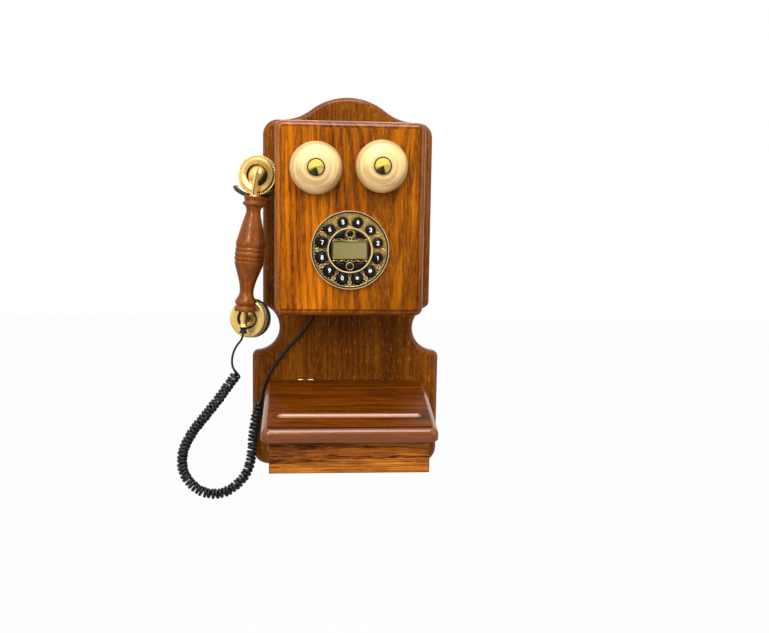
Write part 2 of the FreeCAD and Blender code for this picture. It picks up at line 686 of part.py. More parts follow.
def make_cradle():
    """Saddle under the ear cup on an arm that pivots inside the box and works the switch."""
    near = -d.saddle_near
    width = d.saddle_near - d.saddle_far
    outer = d.saddle_inner + d.saddle_thick
    turn = TO_FRONT.multiply(Rotation(Vector(0, 0, 1), 210.0))
    crescent = rod((d.cradle_x, near + width, d.cradle_z), turn, outer, width, 128.0)
    hollow = rod((d.cradle_x, near + width + 1.0, d.cradle_z), TO_FRONT, d.saddle_inner, width + 2.0)
    lip = []
    for reach, degrees in ((outer, 212.0), (outer + 2.0, 210.5), (outer + 4.2, 208.5)):
        angle = math.radians(degrees)
        lip.append(rod((d.cradle_x + reach * math.cos(angle), near + width,
                        d.cradle_z + reach * math.sin(angle)), TO_FRONT, 1.9, width))
    low = d.arm_z - d.arm_height * 0.5
    half = d.arm_thick * 0.5
    arm = block((d.cradle_x + 21.0, -d.arm_depth - half, low),
                (d.lever_tail_x, half - d.arm_depth, low + d.arm_height))
    bore = rod((d.lever_pivot_x, 10.0 - d.arm_depth, d.arm_z), TO_FRONT,
               d.pivot_radius + d.pivot_play, 20.0)
    node("cradle_lever", cut(fuse(crescent, arm, *lip), hollow, bore))

    cheek = d.arm_thick * 0.5 + 0.5
    inner = d.box_wall - d.box_half
    reach = d.lever_pivot_x + 5.0
    cheeks = [block((inner, -d.arm_depth + cheek * side - 1.5 * (side < 0), low - 6.0),
                    (reach, -d.arm_depth + cheek * side + 1.5 * (side > 0), low + 13.0))
              for side in (-1, 1)]
    window = block((inner - 1.0, -d.arm_depth - 8.0, low - 1.5),
                   (inner + 12.0, 8.0 - d.arm_depth, low + 16.0))
    pin = rod((d.lever_pivot_x, cheek + 1.5 - d.arm_depth, d.arm_z), TO_FRONT, d.pivot_radius,
              cheek * 2 + 3.0)
    near, far = -d.arm_depth - cheek - 1.5, cheek + 1.5 - d.arm_depth
    foot = block((inner, near, low - 14.0), (inner + 1.5, far, low - 1.5))
    strut = block((inner, near, low - 8.0), (reach, far, low - 6.0))
    node("lever_bracket", fuse(cut(fuse(*cheeks), window), pin, foot, strut))
    make_hook_switch(low - d.switch_gap)


def make_hook_switch(button_top):
    """Switch under the lever's tail, on a shelf fixed to the back of the front panel."""
    x, y = d.lever_tail_x, -d.arm_depth
    body_top = button_top - 1.6
    base = body_top - 9.0
    node("hook_switch", fuse(
        block((x - 10.0, y - 5.0, base), (x + 10.0, y + 5.0, body_top)),
        block((x - 4.0, y - 1.5, body_top), (x - 1.0, y + 1.5, button_top)),
        block((x - 10.0, d.panel_thick - d.panel_front, base - 2.0), (x + 10.0, y + 5.0, base))))


# ---------------------------------------------------------------- handset


def handset_frame():
    """Placement of the handset's own frame at rest in the cradle."""
    along = Vector(float(d.handset_lean), float(d.handset_pitch), 1).normalize()
    yaw = math.radians(float(d.handset_yaw))
    across = Vector(math.sin(yaw), math.cos(yaw), 0).cross(along).normalize()
    back = along.cross(across)
    base = Vector(float(d.handset_x), float(d.handset_y), float(d.handset_z))
    return Placement(base, Rotation(across, back, along, "ZXY"))


def in_handset(x, y, z):
    """Placement of a cup in the handset's frame."""
    return handset_frame().multiply(Placement(Vector(float(x), float(y), float(z)), Rotation()))


def make_handle():
    """Turned wooden handle with collars, a swelling grip and three bead rings."""
    runs = [
        [(11.2, 0), (11.8, 1.2), (11.8, 4.6), (11.0, 5.7)],
        [(11.0, 5.7), (10.2, 6.6), (10.9, 7.7)],
        [(10.9, 7.7), (11.8, 9.6), (11.6, 12.2), (9.6, 15.6), (7.9, 20.5), (7.9, 25.0),
         (10.2, 36.0), (13.9, 47.0), (16.2, 54.6)],
        [(16.2, 54.6), (15.5, 55.6), (16.6, 58.4), (15.6, 61.2)],
        [(15.6, 61.2), (16.7, 64.2), (15.6, 67.2)],
        [(15.6, 67.2), (16.5, 69.4), (15.5, 71.6)],
        [(15.5, 71.6), (16.4, 75.5), (15.1, 82.0), (11.7, 96.5), (8.6, 108.0), (8.0, 113.5),
         (9.4, 117.0), (11.8, 118.6)],
        [(11.8, 118.6), (12.5, 120.4), (11.8, 122.2)],
        [(11.8, 122.2), (10.7, 123.6), (11.0, 125.2), (11.7, 127.4), (11.3, 128.9)],
    ]
    edges = [smooth([(radius, 0, level) for radius, level in run]) for run in runs]
    bore, top = float(d.handle_bore), float(d.handle_length)
    corners = [Vector(11.3, 0, top), Vector(bore, 0, top), Vector(bore, 0, 0), Vector(11.2, 0, 0)]
    edges += [Part.makeLine(first, last) for first, last in zip(corners, corners[1:])]
    solid = Part.Face(Part.Wire(edges)).revolve(Vector(0, 0, 0), Vector(0, 0, 1), 360)
    shape_node("handset_handle", solid, handset_frame())


def make_neck():
    """Brass neck: a tang in the handle, then a tapering rod bent back to the ear cup's hub."""
    top, hub_x = float(d.handle_length), float(d.ear_shift)
    low, high = float(d.neck_low), float(d.neck_high)
    centre = [(0, 0, top, low, 0), (-0.3, -0.2, top + 8, low * 0.95, -2),
              (hub_x * 0.6, 0.6, top + 16, low * 0.85, -12), (hub_x, 4.6, top + 23.4, high, -42)]
    rings = []
    for x, y, z, radius, tilt in centre:
        normal = Rotation(Vector(1, 0, 0), tilt).multVec(Vector(0, 0, 1))
        rings.append(Part.Wire(Part.makeCircle(radius, Vector(x, y, z), normal)))
    rod_shape = Part.makeLoft(rings, True)
    tang = Part.makeCylinder(float(d.handle_bore), 26, Vector(0, 0, top - 26))
    shape_node("upper_neck", rod_shape.fuse(tang).removeSplitter(), handset_frame())


def cup_node(label, corners, place_at):
    """A turned piece of a cup; y runs from the hub's side to the cap's side."""
    body = turned(corners)
    body.Placement = place_at
    return node(label, body)


def make_ear():
    """Ear cup with a domed hub, its cap and the receiver capsule inside."""
    at = in_handset(d.ear_shift, d.ear_plane, d.ear_level)
    radius, wall = d.ear_radius, d.cup_wall
    cup_node("ear_cup", [(0.0, -5.8), (3.0, -5.5), (6.0, -4.4), (8.2, -2.6), (9.4, -0.2),
                         (9.8, 1.2), (12.0, 1.0), (13.2, -0.2), (13.9, -0.7), (15.6, 0.3),
                         (17.6, 0.3), (19.6, -0.5), (21.4, -0.9), (radius, -0.4),
                         (radius, 3.6), (radius - 1.5, 4.4), (radius - 1.5, 11.0),
                         (radius - 1.5 - wall, 11.0), (radius - 1.5 - wall, 4.0),
                         (19.0, 2.4), (12.4, 2.6), (8.4, 2.4), (5.0, -1.6), (0.0, -2.4)], at)
    cup_node("ear_cap", [(0.0, 14.6), (6.0, 14.9), (17.0, 17.2), (19.8, 17.6), (radius, 16.4),
                         (radius, 12.6), (radius - 1.5, 11.0), (18.6, 11.0), (18.6, 13.6),
                         (0.0, 12.4)][::-1], at)
    cup_node("receiver_capsule", [(0.0, 4.4), (17.6, 4.4), (18.2, 5.2), (18.2, 10.6),
                                  (12.0, 12.0), (0.0, 12.0)][::-1], at)


def make_mouth():
    """Sleeve under the handle with the mouth cup behind it, cap, capsule and strain relief."""
    frame = handset_frame()
    at = in_handset(0.0, d.mouth_plane, d.mouth_level)
    radius, wall = d.mouth_radius, d.cup_wall
    body = turned([(0.0, -5.0), (6.0, -5.0), (7.4, -0.6), (12.0, 0.6), (13.7, -0.8),
                   (20.4, -0.6), (radius, 0.6), (radius, 10.4), (radius - wall, 10.4),
                   (radius - wall, 2.2), (13.7, 1.4), (0.0, 1.4)][::-1])
    body.Placement = at
    sleeve, length = float(d.sleeve_radius), float(d.sleeve_length)
    tube = Part.makeCylinder(sleeve, length, Vector(0, 0, -length))
    tube = tube.fuse(Part.makeCylinder(sleeve + 0.6, 1.8, Vector(0, 0, -length)))
    tube = tube.fuse(Part.makeCylinder(float(d.handle_bore), 22, Vector(0, 0, 0)))
    stem = Part.makeCylinder(4.2, float(d.mouth_plane) - 5.0 + 0.6,
                             Vector(0, 0, float(d.mouth_level)), Vector(0, 1, 0))
    casting = doc.addObject("Part::Feature", "Sleeve")
    casting.Shape = tube.fuse(stem).removeSplitter()
    casting.Placement = frame
    node("mouth_cup", fuse(body, casting))
    cup_node("mouth_cap", [(0.0, 13.6), (10.0, 14.0), (19.0, 16.2), (21.0, 15.6),
                           (radius, 14.2), (radius, 10.4), (18.6, 10.4), (18.6, 12.6),
                           (0.0, 11.6)][::-1], at)
    cup_node("microphone_capsule", [(0.0, 3.4), (16.6, 3.4), (17.4, 4.2), (17.4, 9.8),
                                    (12.0, 11.2), (0.0, 11.2)][::-1], at)
    relief = [(3.6, -length), (4.2, -length - 0.9), (3.4, -length - 2.4),
              (2.7, -length - 4.2), (3.6, -length - 6.2), (3.3, -length - float(d.relief_length))]
    edges = [smooth([(r, 0, z) for r, z in relief])]
    corners = [Vector(3.3, 0, relief[-1][1]), Vector(0, 0, relief[-1][1]),
               Vector(0, 0, -length), Vector(3.6, 0, -length)]
    edges += [Part.makeLine(first, last) for first, last in zip(corners, corners[1:])]
    solid = Part.Face(Part.Wire(edges)).revolve(Vector(0, 0, 0), Vector(0, 0, 1), 360)
    shape_node("strain_relief", solid, frame)


# ---------------------------------------------------------------- cord


def relief_end(beyond):
    """A point on the handset's axis below the strain relief."""
    reach = float(d.sleeve_length) + float(d.relief_length) + beyond
    return tuple(handset_frame().multVec(Vector(0, 0, -reach)))


GLAND = (-38.0, -28.0, -177.0)
JACK = (30.0, -45.0, -171.0)
LOWER_ROUTE = [GLAND, (-39.3, -26.6, -184.6), (-45.6, -23.6, -196.0), (-54.6, -20.8, -207.6),
               (-64.4, -19.3, -218.4), (-75.0, -18.8, -229.8), (-85.6, -18.9, -244.2),
               (-93.6, -19.5, -258.0), (-98.6, -21.0, -270.6), (-101.0, -23.6, -281.8),
               (-102.6, -25.5, -289.5)]
COIL_ROUTE = [(-102.6, -25.5, -289.5), (-108.2, -28.0, -307.4), (-110.3, -30.5, -326.3),
              (-111.6, -32.5, -346.6), (-114.8, -35.0, -366.9), (-125.4, -37.5, -383.3),
              (-141.4, -40.5, -394.5), (-159.5, -43.5, -396.6), (-177.4, -46.5, -387.6),
              (-189.3, -49.5, -371.4), (-192.6, -52.5, -351.4), (-186.9, -56.0, -330.2),
              (-174.3, -60.0, -310.0), (-157.5, -64.0, -289.2), (-140.5, -67.5, -266.0),
              (-126.4, -70.0, -245.4)]
UPPER_ROUTE = [relief_end(0), relief_end(6), (-126.0, -77.0, -212.0), (-130.4, -75.0, -221.4),
               (-132.0, -72.5, -232.2), (-130.4, -71.0, -240.2), (-126.4, -70.0, -245.4)]


def cord_tube(label, route, radius):
    """A tube along straight runs joined by tangent arcs, each as large as its runs allow."""
    points = [Vector(*point) for point in route]
    edges, start, radii = [], points[0], []
    for before, here, after in zip(points, points[1:], points[2:]):
        inward, outward = here - before, after - here
        half_turn = inward.getAngle(outward) / 2
        trim = 0.45 * min(inward.Length, outward.Length)
        radii.append(trim / math.tan(half_turn))
        first = here - inward.normalize() * trim
        last = here + outward.normalize() * trim
        chord_middle = (first + last) * 0.5
        pull = (here - chord_middle).normalize()
        arc_middle = here - pull * (radii[-1] / math.cos(half_turn) - radii[-1])
        edges += [Part.LineSegment(start, first).toShape(),
                  Part.Arc(first, arc_middle, last).toShape()]
        start = last
    edges.append(Part.LineSegment(start, points[-1]).toShape())
    path = Part.Wire(edges)
    section = Part.Wire(Part.makeCircle(radius, points[0], points[1] - points[0]))
    solid = path.makePipeShell([section], True, False, 1)
    expected = math.pi * radius ** 2 * path.Length
    print("%s: length %.1f, radii %s, volume ratio %.4f" % (
        label, path.Length, [round(value, 1) for value in radii], solid.Volume / expected))
    shape_node(label, solid)


# ---------------------------------------------------------------- shelf and lid


def lid_under(depth):
    """Height of the lid's underside at a distance from the wall."""
    slope = math.radians(float(d.lid_slope))
    drop = float(d.lid_thick) / math.cos(slope) + float(d.lid_gap)
    return float(d.lid_back_z) - (depth - float(d.lid_back)) * math.tan(slope) - drop


def make_shelf():
    """Shelf box: front, two sides with sloping tops, and floor."""
    back, inside = d.board_thick, d.shelf_front_depth - d.shelf_wall
    top = lid_under(float(d.shelf_front_depth))
    board = new_body((0, -inside, 0), TO_FRONT)
    outline = polygon(sketch_on(board, "XY_Plane"),
                      [(-d.shelf_half, d.shelf_bottom), (d.shelf_half, d.shelf_bottom),
                       (d.shelf_half, top), (-d.shelf_half, top)])
    pad(board, outline, d.shelf_wall)
    round_edges(board, d.shelf_edge, edge_at_height(d.shelf_wall))
    node("shelf_front", board)
    sides = []
    for start in (-d.shelf_half, d.shelf_half - d.shelf_wall):
        body = new_body((start, 0, 0))
        profile = polygon(sketch_on(body, "YZ_Plane"),
                          [(-back, d.shelf_bottom), (-back, lid_under(float(back))),
                           (-inside, lid_under(float(inside))), (-inside, d.shelf_bottom)])
        sides.append(pad(body, profile, d.shelf_wall))
    node("shelf_sides", group(*sides))
    width = d.shelf_half - d.shelf_wall
    node("shelf_floor", block((-width, -inside, d.shelf_bottom),
                              (width, -back, d.shelf_bottom + d.shelf_floor_thick)))


def lid_turn():
    """Rotation of the lid's own frame: local -y runs down the slope, local z out of it."""
    return Rotation(Vector(1, 0, 0), float(d.lid_slope))


def lid_point(x, y, z):
    """A point of the lid's own frame in the telephone's frame."""
    base = Vector(0, -float(d.lid_back), float(d.lid_back_z))
    return tuple(base + lid_turn().multVec(Vector(float(x), float(y), float(z))))


def make_lid():
    """Sloping lid with a raised field, a rounded border and a pencil groove."""
    base = new_body((0, -d.lid_back, d.lid_back_z), lid_turn())
    sketch = sketch_on(base, "XY_Plane")
    sketch.setExpression("AttachmentOffset.Base.z", expression(-d.lid_thick))
    polygon(sketch, [(-d.lid_half, -d.lid_length), (d.lid_half, -d.lid_length),
                     (d.lid_half, 0.0), (-d.lid_half, 0.0)])
    pad(base, sketch, d.lid_thick - d.lid_step)
    front = -float(d.lid_length)
    round_edges(base, d.lid_corner,
                lambda edge: upright_edge(edge) and abs(edge.BoundBox.YMin - front) < 1e-6)
    top = edge_at_height(-d.lid_step)
    round_edges(base, d.lid_edge, lambda edge: top(edge) and edge.BoundBox.YMin < -1e-6)
    field = primitive("Box", lid_point(-d.lid_field_half, -d.lid_field_length, -d.lid_step - 0.5),
                      lid_turn(), Length=d.lid_field_half * 2, Width=d.lid_field_length,
                      Height=d.lid_step + 0.5)
    rise = float(d.groove_radius - d.groove_depth)
    inset = math.sqrt(float(d.groove_radius) ** 2 - rise ** 2)
    reach = float(d.groove_half) - inset
    turn = lid_turn().multiply(TO_RIGHT)
    tools = [rod(lid_point(-reach, -d.groove_from_back, rise), turn, d.groove_radius, 2 * reach)]
    for side in (-1, 1):
        tools.append(primitive("Sphere", lid_point(reach * side, -d.groove_from_back, rise),
                               Radius=d.groove_radius))
    node("lid", cut(fuse(base, field), *tools))


def make_hinges():
    """Two butt hinges: leaves on the board with their pins, leaves on the lid's back edge."""
    third = float(d.hinge_width) / 3
    drop = float(d.hinge_leaf_drop)
    board_leaves, lid_leaves = [], []
    for side in (-1, 1):
        left = d.hinge_x * side - d.hinge_width * 0.5
        middle = left + third
        right = left + third * 2
        leaf = block((left, -d.board_thick - d.hinge_leaf, d.hinge_z - drop),
                     (left + d.hinge_width, -d.board_thick, d.hinge_z + 0.4))
        gap = block((middle - 0.2, -d.board_thick - d.hinge_leaf - 3.0, d.hinge_z - 3.0),
                    (right + 0.2, -d.board_thick, d.hinge_z + 3.0))
        outer = [rod((start, -d.hinge_depth, d.hinge_z), TO_RIGHT, d.knuckle_radius, third - 0.2)
                 for start in (left, right + 0.2)]
        pin = rod((left, -d.hinge_depth, d.hinge_z), TO_RIGHT, d.hinge_pin, d.hinge_width)
        board_leaves.append(fuse(cut(leaf, gap), pin, *outer))

        knuckle = rod((middle, -d.hinge_depth, d.hinge_z), TO_RIGHT, d.knuckle_radius, third)
        plate = primitive("Box", lid_point(left, 0.0, -drop), lid_turn(),
                          Length=d.hinge_width, Width=d.hinge_leaf, Height=drop - 3.0)
        tab = primitive("Box", lid_point(middle, 0.0, -drop), lid_turn(), Length=third,
                        Width=d.hinge_leaf, Height=drop + 2.4)
        bore = rod((middle - 1.0, -d.hinge_depth, d.hinge_z), TO_RIGHT,
                   d.hinge_pin + d.hinge_play, third + 2.0)
        lid_leaves.append(cut(fuse(knuckle, plate, tab), bore))
    node("hinge_board_leaves", group(*board_leaves))
    node("hinge_lid_leaves", group(*lid_leaves))


# ---------------------------------------------------------------- the whole telephone

BELLS = [(d.bell_left_x, d.bell_left_z), (d.bell_right_x, d.bell_right_z)]

make_backboard()
make_hangers()
make_screws()
make_box()
make_panel()
make_bells()
make_ringer()
make_dial()
make_display()
make_keys()
make_electronics()
make_gland()
make_cradle()
make_handle()
make_neck()
make_ear()
make_mouth()
cord_tube("cord_lower", LOWER_ROUTE, float(d.cord_radius))
cord_tube("cord_coil", COIL_ROUTE, float(d.coil_outer))
cord_tube("cord_upper", UPPER_ROUTE, float(d.cord_radius))
make_shelf()
make_lid()
make_hinges()

doc.recompute()
failed = [item.Label for item in doc.Objects if {"Invalid", "Error"} & set(item.State)]
assert not failed, "failed objects: %s" % failed
for piece in nodes:
    assert not piece.Shape.isNull() and piece.Shape.isValid(), "bad shape: %s" % piece.Label

os.makedirs("parts", exist_ok=True)
for piece in nodes:
    piece.Shape.exportStep("parts/%s.step" % piece.Label)
print("%d sub-parts written" % len(nodes))
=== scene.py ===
"""Wooden wall telephone: finishes, brass fittings, keys, curly cord, light and camera.

All lengths are metres in the telephone's own frame: +X right, +Y into the wall, +Z up,
with the origin midway between the two keyholes on the back of the board.
"""
import json
import logging
import math
from dataclasses import dataclass
from enum import Enum
from typing import Callable, Sequence

import bmesh
import bpy
import numpy as np
from mathutils import Matrix, Vector

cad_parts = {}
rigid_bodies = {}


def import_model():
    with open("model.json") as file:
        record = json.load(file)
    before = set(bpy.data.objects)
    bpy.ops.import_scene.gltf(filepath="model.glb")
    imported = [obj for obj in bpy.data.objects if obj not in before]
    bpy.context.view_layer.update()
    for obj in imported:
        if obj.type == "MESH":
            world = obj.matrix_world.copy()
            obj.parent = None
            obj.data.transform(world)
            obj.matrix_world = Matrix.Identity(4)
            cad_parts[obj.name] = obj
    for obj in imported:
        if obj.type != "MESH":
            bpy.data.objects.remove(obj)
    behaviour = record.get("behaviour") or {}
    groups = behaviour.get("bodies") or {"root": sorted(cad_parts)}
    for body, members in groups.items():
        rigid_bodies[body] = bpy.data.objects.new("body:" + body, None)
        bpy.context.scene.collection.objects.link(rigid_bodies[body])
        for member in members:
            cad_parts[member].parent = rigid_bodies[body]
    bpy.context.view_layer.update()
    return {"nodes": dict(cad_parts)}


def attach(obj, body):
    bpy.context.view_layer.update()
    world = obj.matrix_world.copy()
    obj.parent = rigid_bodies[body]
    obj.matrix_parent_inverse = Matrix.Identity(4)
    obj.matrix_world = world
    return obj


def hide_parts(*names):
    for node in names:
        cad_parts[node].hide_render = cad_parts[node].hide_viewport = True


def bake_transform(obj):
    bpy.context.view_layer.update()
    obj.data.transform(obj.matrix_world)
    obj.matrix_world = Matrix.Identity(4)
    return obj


for leftover in list(bpy.data.objects):
    bpy.data.objects.remove(leftover)

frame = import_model()
NODES = frame["nodes"]
MM = 0.001
log = logging.getLogger("telephone")

Array = np.ndarray
Triple = tuple[float, float, float]
Colour = Triple
Span = tuple[float, float]
Rows = Sequence[Sequence[float]]


# ---------------------------------------------------------------- places


@dataclass(frozen=True)
class Basis:
    """An origin and three unit axes that a piece is worked out in."""

    origin: Triple = (0.0, 0.0, 0.0)
    x: Triple = (1.0, 0.0, 0.0)
    y: Triple = (0.0, 1.0, 0.0)
    z: Triple = (0.0, 0.0, 1.0)

    def out(self, points: Array) -> Array:
        """Points of this basis in the telephone's frame: origin plus each axis times its share."""
        return np.asarray(self.origin) + points @ np.array([self.x, self.y, self.z])

    def at(self, x: float, y: float, z: float) -> "Basis":
        """The same axes about another point of this basis."""
        return Basis(tuple(self.out(np.array([x, y, z], float))), self.x, self.y, self.z)


def unit(vectors: Array | Sequence[float]) -> Array:
    """Each vector divided by its length."""
    return vectors / np.linalg.norm(vectors, axis=-1, keepdims=True)


def mm(rows: Rows) -> Array:
    """A table of millimetres as an array of metres."""
    return np.array(rows, float) * MM


HANDLE_LEAN = 0.0841
HANDLE_WAY = (HANDLE_LEAN, 0.031, 1.0)
HANDSET_FOOT = (-0.1168, -0.075, -0.1736)
HANDSET_YAW = math.radians(18.0)


def handset_basis() -> Basis:
    """Axes of the handset at rest: z along the handle, y from the handle to the cups.

    Returns:
        The handset's basis, with its origin at the handle's foot.
    """
    along = unit(HANDLE_WAY)
    across = unit(np.cross((math.sin(HANDSET_YAW), math.cos(HANDSET_YAW), 0.0), along))
    return Basis(HANDSET_FOOT, tuple(across), tuple(np.cross(along, across)), tuple(along))


HANDSET = handset_basis()
HANDLE = Basis(HANDSET.origin, HANDSET.x, HANDSET.z, HANDSET.y)
DIAL = Basis((0.0, -0.084, -0.1029))
LEFT_BELL, RIGHT_BELL = (-0.0384, -0.013), (0.034, -0.0102)
LID_SLOPE = math.radians(11.77)
LID_FACE = (0.0, -math.sin(LID_SLOPE), math.cos(LID_SLOPE))
BOTH_SIDES = (1.0, -1.0)


# ---------------------------------------------------------------- surfaces worked out on grids


class Form(Enum):
    """Which edges of a grid join: the last row to the first, the last column to the first."""

    SHEET = (False, False)
    TUBE = (False, True)
    RING = (True, True)


def grid_faces(rows: int, columns: int, form: Form) -> Array:
    """Quads between neighbours of a grid.

    Args:
        rows: points along the first parameter.
        columns: points along the second.
        form: which edges join.

    Returns:
        One row of four point numbers for each quad.
    """
    close_rows, close_columns = form.value
    first = np.arange(rows if close_rows else rows - 1)
    second = np.arange(columns if close_columns else columns - 1)
    row, column = np.meshgrid(first, second, indexing="ij")
    below, beside = (row + 1) % rows, (column + 1) % columns
    return np.stack([row * columns + column, below * columns + column,
                     below * columns + beside, row * columns + beside], -1).reshape(-1, 4)


class Shell:
    """Gathers grids into one mesh object."""

    # Points nearer than the first become one, and edges shorter than the second go.
    MERGED = 1e-6
    EMPTY = 1e-7

    def __init__(self, name: str) -> None:
        """Start an empty shell."""
        self.name = name
        self.points: list[Array] = []
        self.faces: list[Array] = []
        self.paints: list[Array] = []
        self.uvs: list[Array] = []
        self.count = 0

    def add(self, grids: Array, paint: int = 0, form: Form = Form.TUBE,
            uv: Array | None = None) -> "Shell":
        """Add one grid, or many of one size, as quads.

        Args:
            grids: rows by columns by three, or an array of such grids.
            paint: number of the material slot.
            form: which edges of each grid join.
            uv: a place on the piece's own map for each point, in the same order.

        Returns:
            The shell itself.
        """
        rows, columns = grids.shape[-3:-1]
        points = grids.reshape(-1, 3)
        many = len(points) // (rows * columns)
        faces = grid_faces(rows, columns, form)
        start = self.count + np.arange(many)[:, None, None] * rows * columns
        self.points.append(points)
        self.uvs.append(np.zeros((len(points), 2)) if uv is None else uv.reshape(-1, 2))
        self.faces.append((faces[None] + start).reshape(-1, 4))
        self.paints.append(np.full(many * len(faces), paint))
        self.count += len(points)
        return self

    def turned(self, profile: Array, basis: Basis, segments: int, paint: int = 0,
               form: Form = Form.TUBE) -> "Shell":
        """Add a profile turned about the basis's y axis."""
        return self.add(lathe(profile, basis, segments), paint, form)

    def build(self, sharp: float = 40.0, outward: bool = True) -> bpy.types.Object:
        """Make the mesh object, with doubles merged, faces outward and sharp edges kept.

        Args:
            sharp: degrees between faces past which an edge stays sharp.
            outward: turn the faces of closed shells outward.

        Returns:
            The new object, at the origin.
        """
        mesh = bpy.data.meshes.new(self.name)
        faces = np.concatenate(self.faces)
        mesh.from_pydata(np.concatenate(self.points).tolist(), [], faces.tolist())
        mesh.polygons.foreach_set("material_index", np.concatenate(self.paints))
        layer = mesh.uv_layers.new(name="own")
        layer.data.foreach_set("uv", np.concatenate(self.uvs)[faces.reshape(-1)].reshape(-1))
        work = bmesh.new()
        work.from_mesh(mesh)
        bmesh.ops.remove_doubles(work, verts=work.verts, dist=self.MERGED)
        bmesh.ops.dissolve_degenerate(work, edges=work.edges, dist=self.EMPTY)
        if outward:
            bmesh.ops.recalc_face_normals(work, faces=work.faces)
        work.to_mesh(mesh)
        work.free()
        mesh.shade_smooth()
        mesh.set_sharp_from_angle(angle=math.radians(sharp))
        item = bpy.data.objects.new(self.name, mesh)
        bpy.context.scene.collection.objects.link(item)
        return item

    def settle(self, body: str, slot: str, finishes: Sequence[str], *nodes: str,
               sharp: float = 40.0) -> bpy.types.Object:
        """Build the piece and dress it, and let it ride on a body and stand for nodes."""
        return fit(dress(self.build(sharp), *finishes), body, slot, *nodes)


CUT = 0.25


def softened(line: Rows | Array, rounds: int = 2, closed: bool = False) -> Array:
    """A line with its corners cut: each run keeps its middle half, again and again.

    Args:
        line: points of the line.
        rounds: how often the corners are cut.
        closed: whether the last point runs on to the first.

    Returns:
        The points of the softer line; an open one keeps its two ends.
    """
    points = np.asarray(line, float)
    for _ in range(rounds):
        ahead = np.roll(points, -1, axis=0)
        cut = np.stack([points * (1 - CUT) + ahead * CUT, points * CUT + ahead * (1 - CUT)], 1)
        cut = cut.reshape(-1, points.shape[1])
        points = cut if closed else np.concatenate([points[:1], cut[1:-3], points[-1:]])
    return points


def circle(count: int, radius: float = 1.0) -> Array:
    """Points round a circle about nought: r cos a and r sin a."""
    angle = np.linspace(0.0, math.tau, count, endpoint=False)
    return np.stack([np.cos(angle), np.sin(angle)], -1) * radius


def stood(flat: Array, along: float | Array) -> Array:
    """Flat points stood up: their two numbers become x and z, and y is the place along."""
    return np.stack([flat[..., 0], np.broadcast_to(along, flat.shape[:-1]), flat[..., 1]], -1)


def lathe(profile: Array, basis: Basis, segments: int) -> Array:
    """A surface turned about the basis's y axis: x = r cos a, z = r sin a, y from the profile.

    Args:
        profile: rows of radius and place along the axis.
        basis: where the axis is.
        segments: points round the axis.

    Returns:
        A grid of profile points by angles.
    """
    return basis.out(stood(profile[:, None, :1] * circle(segments)[None], profile[:, 1:]))


def rectangle(half_wide: float, half_tall: float, corner: float) -> Array:
    """A rectangle about nought with round corners: quarter circles set at its four corners.

    Args:
        half_wide: half its width.
        half_tall: half its height.
        corner: radius of its corners.

    Returns:
        Its points by two, anticlockwise.
    """
    turn = np.linspace(0.0, math.pi / 2, 6)
    quarters = [np.stack([np.cos(turn + start), np.sin(turn + start)], -1) * corner
                + np.array([sx * (half_wide - corner), sy * (half_tall - corner)])
                for start, sx, sy in ((0.0, 1, 1), (math.pi / 2, -1, 1), (math.pi, -1, -1),
                                      (math.pi * 1.5, 1, -1))]
    return np.concatenate(quarters)


def pillow(loop: Array, levels: Rows, basis: Basis) -> Array:
    """A closed cushion-topped block over a loop.

    Each level is the loop drawn in towards its middle by a share, at a place along y.

    Args:
        loop: points by two, across and up.
        levels: share of the loop's size and millimetres along y, from the foot to the crown.
        basis: where nought of the loop is.

    Returns:
        A grid of levels by loop points.
    """
    middle = loop.mean(0)
    share, along = np.array(levels, float).T[..., None]
    return basis.out(stood(middle + (loop - middle) * share[..., None], along * MM))


def ball(radii: Sequence[float], rows: int = 6, columns: int = 8) -> Array:
    """A ball or egg about nought, from pole to pole along y, with its three half widths."""
    turn = np.linspace(0.0, math.pi, rows)
    return lathe(np.stack([np.sin(turn), -np.cos(turn)], -1), Basis(), columns) * radii


def tangents(path: Array) -> Array:
    """The unit direction of a path at each of its points."""
    return unit(np.gradient(path, axis=0))


def gone(path: Array) -> Array:
    """The length from a path's start to each of its points."""
    return np.concatenate([[0.0], np.cumsum(np.linalg.norm(np.diff(path, axis=0), axis=1))])


def frames_along(path: Array, hint: Sequence[float] | Array) -> tuple[Array, Array]:
    """Two unit vectors across a path at each of its points, the first square to a hint."""
    first = unit(np.cross(tangents(path), hint))
    return first, np.cross(tangents(path), first)


def capped(grid: Array) -> Array:
    """The same grid with both ends drawn in to their middles, so that the ends are closed."""
    ends = [np.repeat(grid[i].mean(0, keepdims=True), grid.shape[1], 0)[None] for i in (0, -1)]
    return np.concatenate([ends[0], grid, ends[1]])


def swept(path: Array, section: Array, hint: Sequence[float] | Array = (0.0, 1.0, 0.0)) -> Array:
    """A closed rod: a section carried along a path, with its ends drawn in.

    Args:
        path: points that the section follows.
        section: points across by two, or one such set for each path point.
        hint: a direction that the path never runs along, or one for each path point.

    Returns:
        A grid of path points, and one more at each end, by section points.
    """
    first, second = frames_along(path, hint)
    section = np.broadcast_to(section, (len(path),) + section.shape[-2:])
    return capped(path[:, None] + first[:, None] * section[..., :1]
                  + second[:, None] * section[..., 1:])


def tapered(path: Array, radii: float | Array, sides: int = 6,
            hint: Sequence[float] | Array = (0.0, 1.0, 0.0)) -> Array:
    """A closed round rod along a path, with one radius or its own radius at each point."""
    radii = np.broadcast_to(radii, len(path))
    return swept(path, circle(sides)[None] * radii[:, None, None], hint)


# ---------------------------------------------------------------- shader building


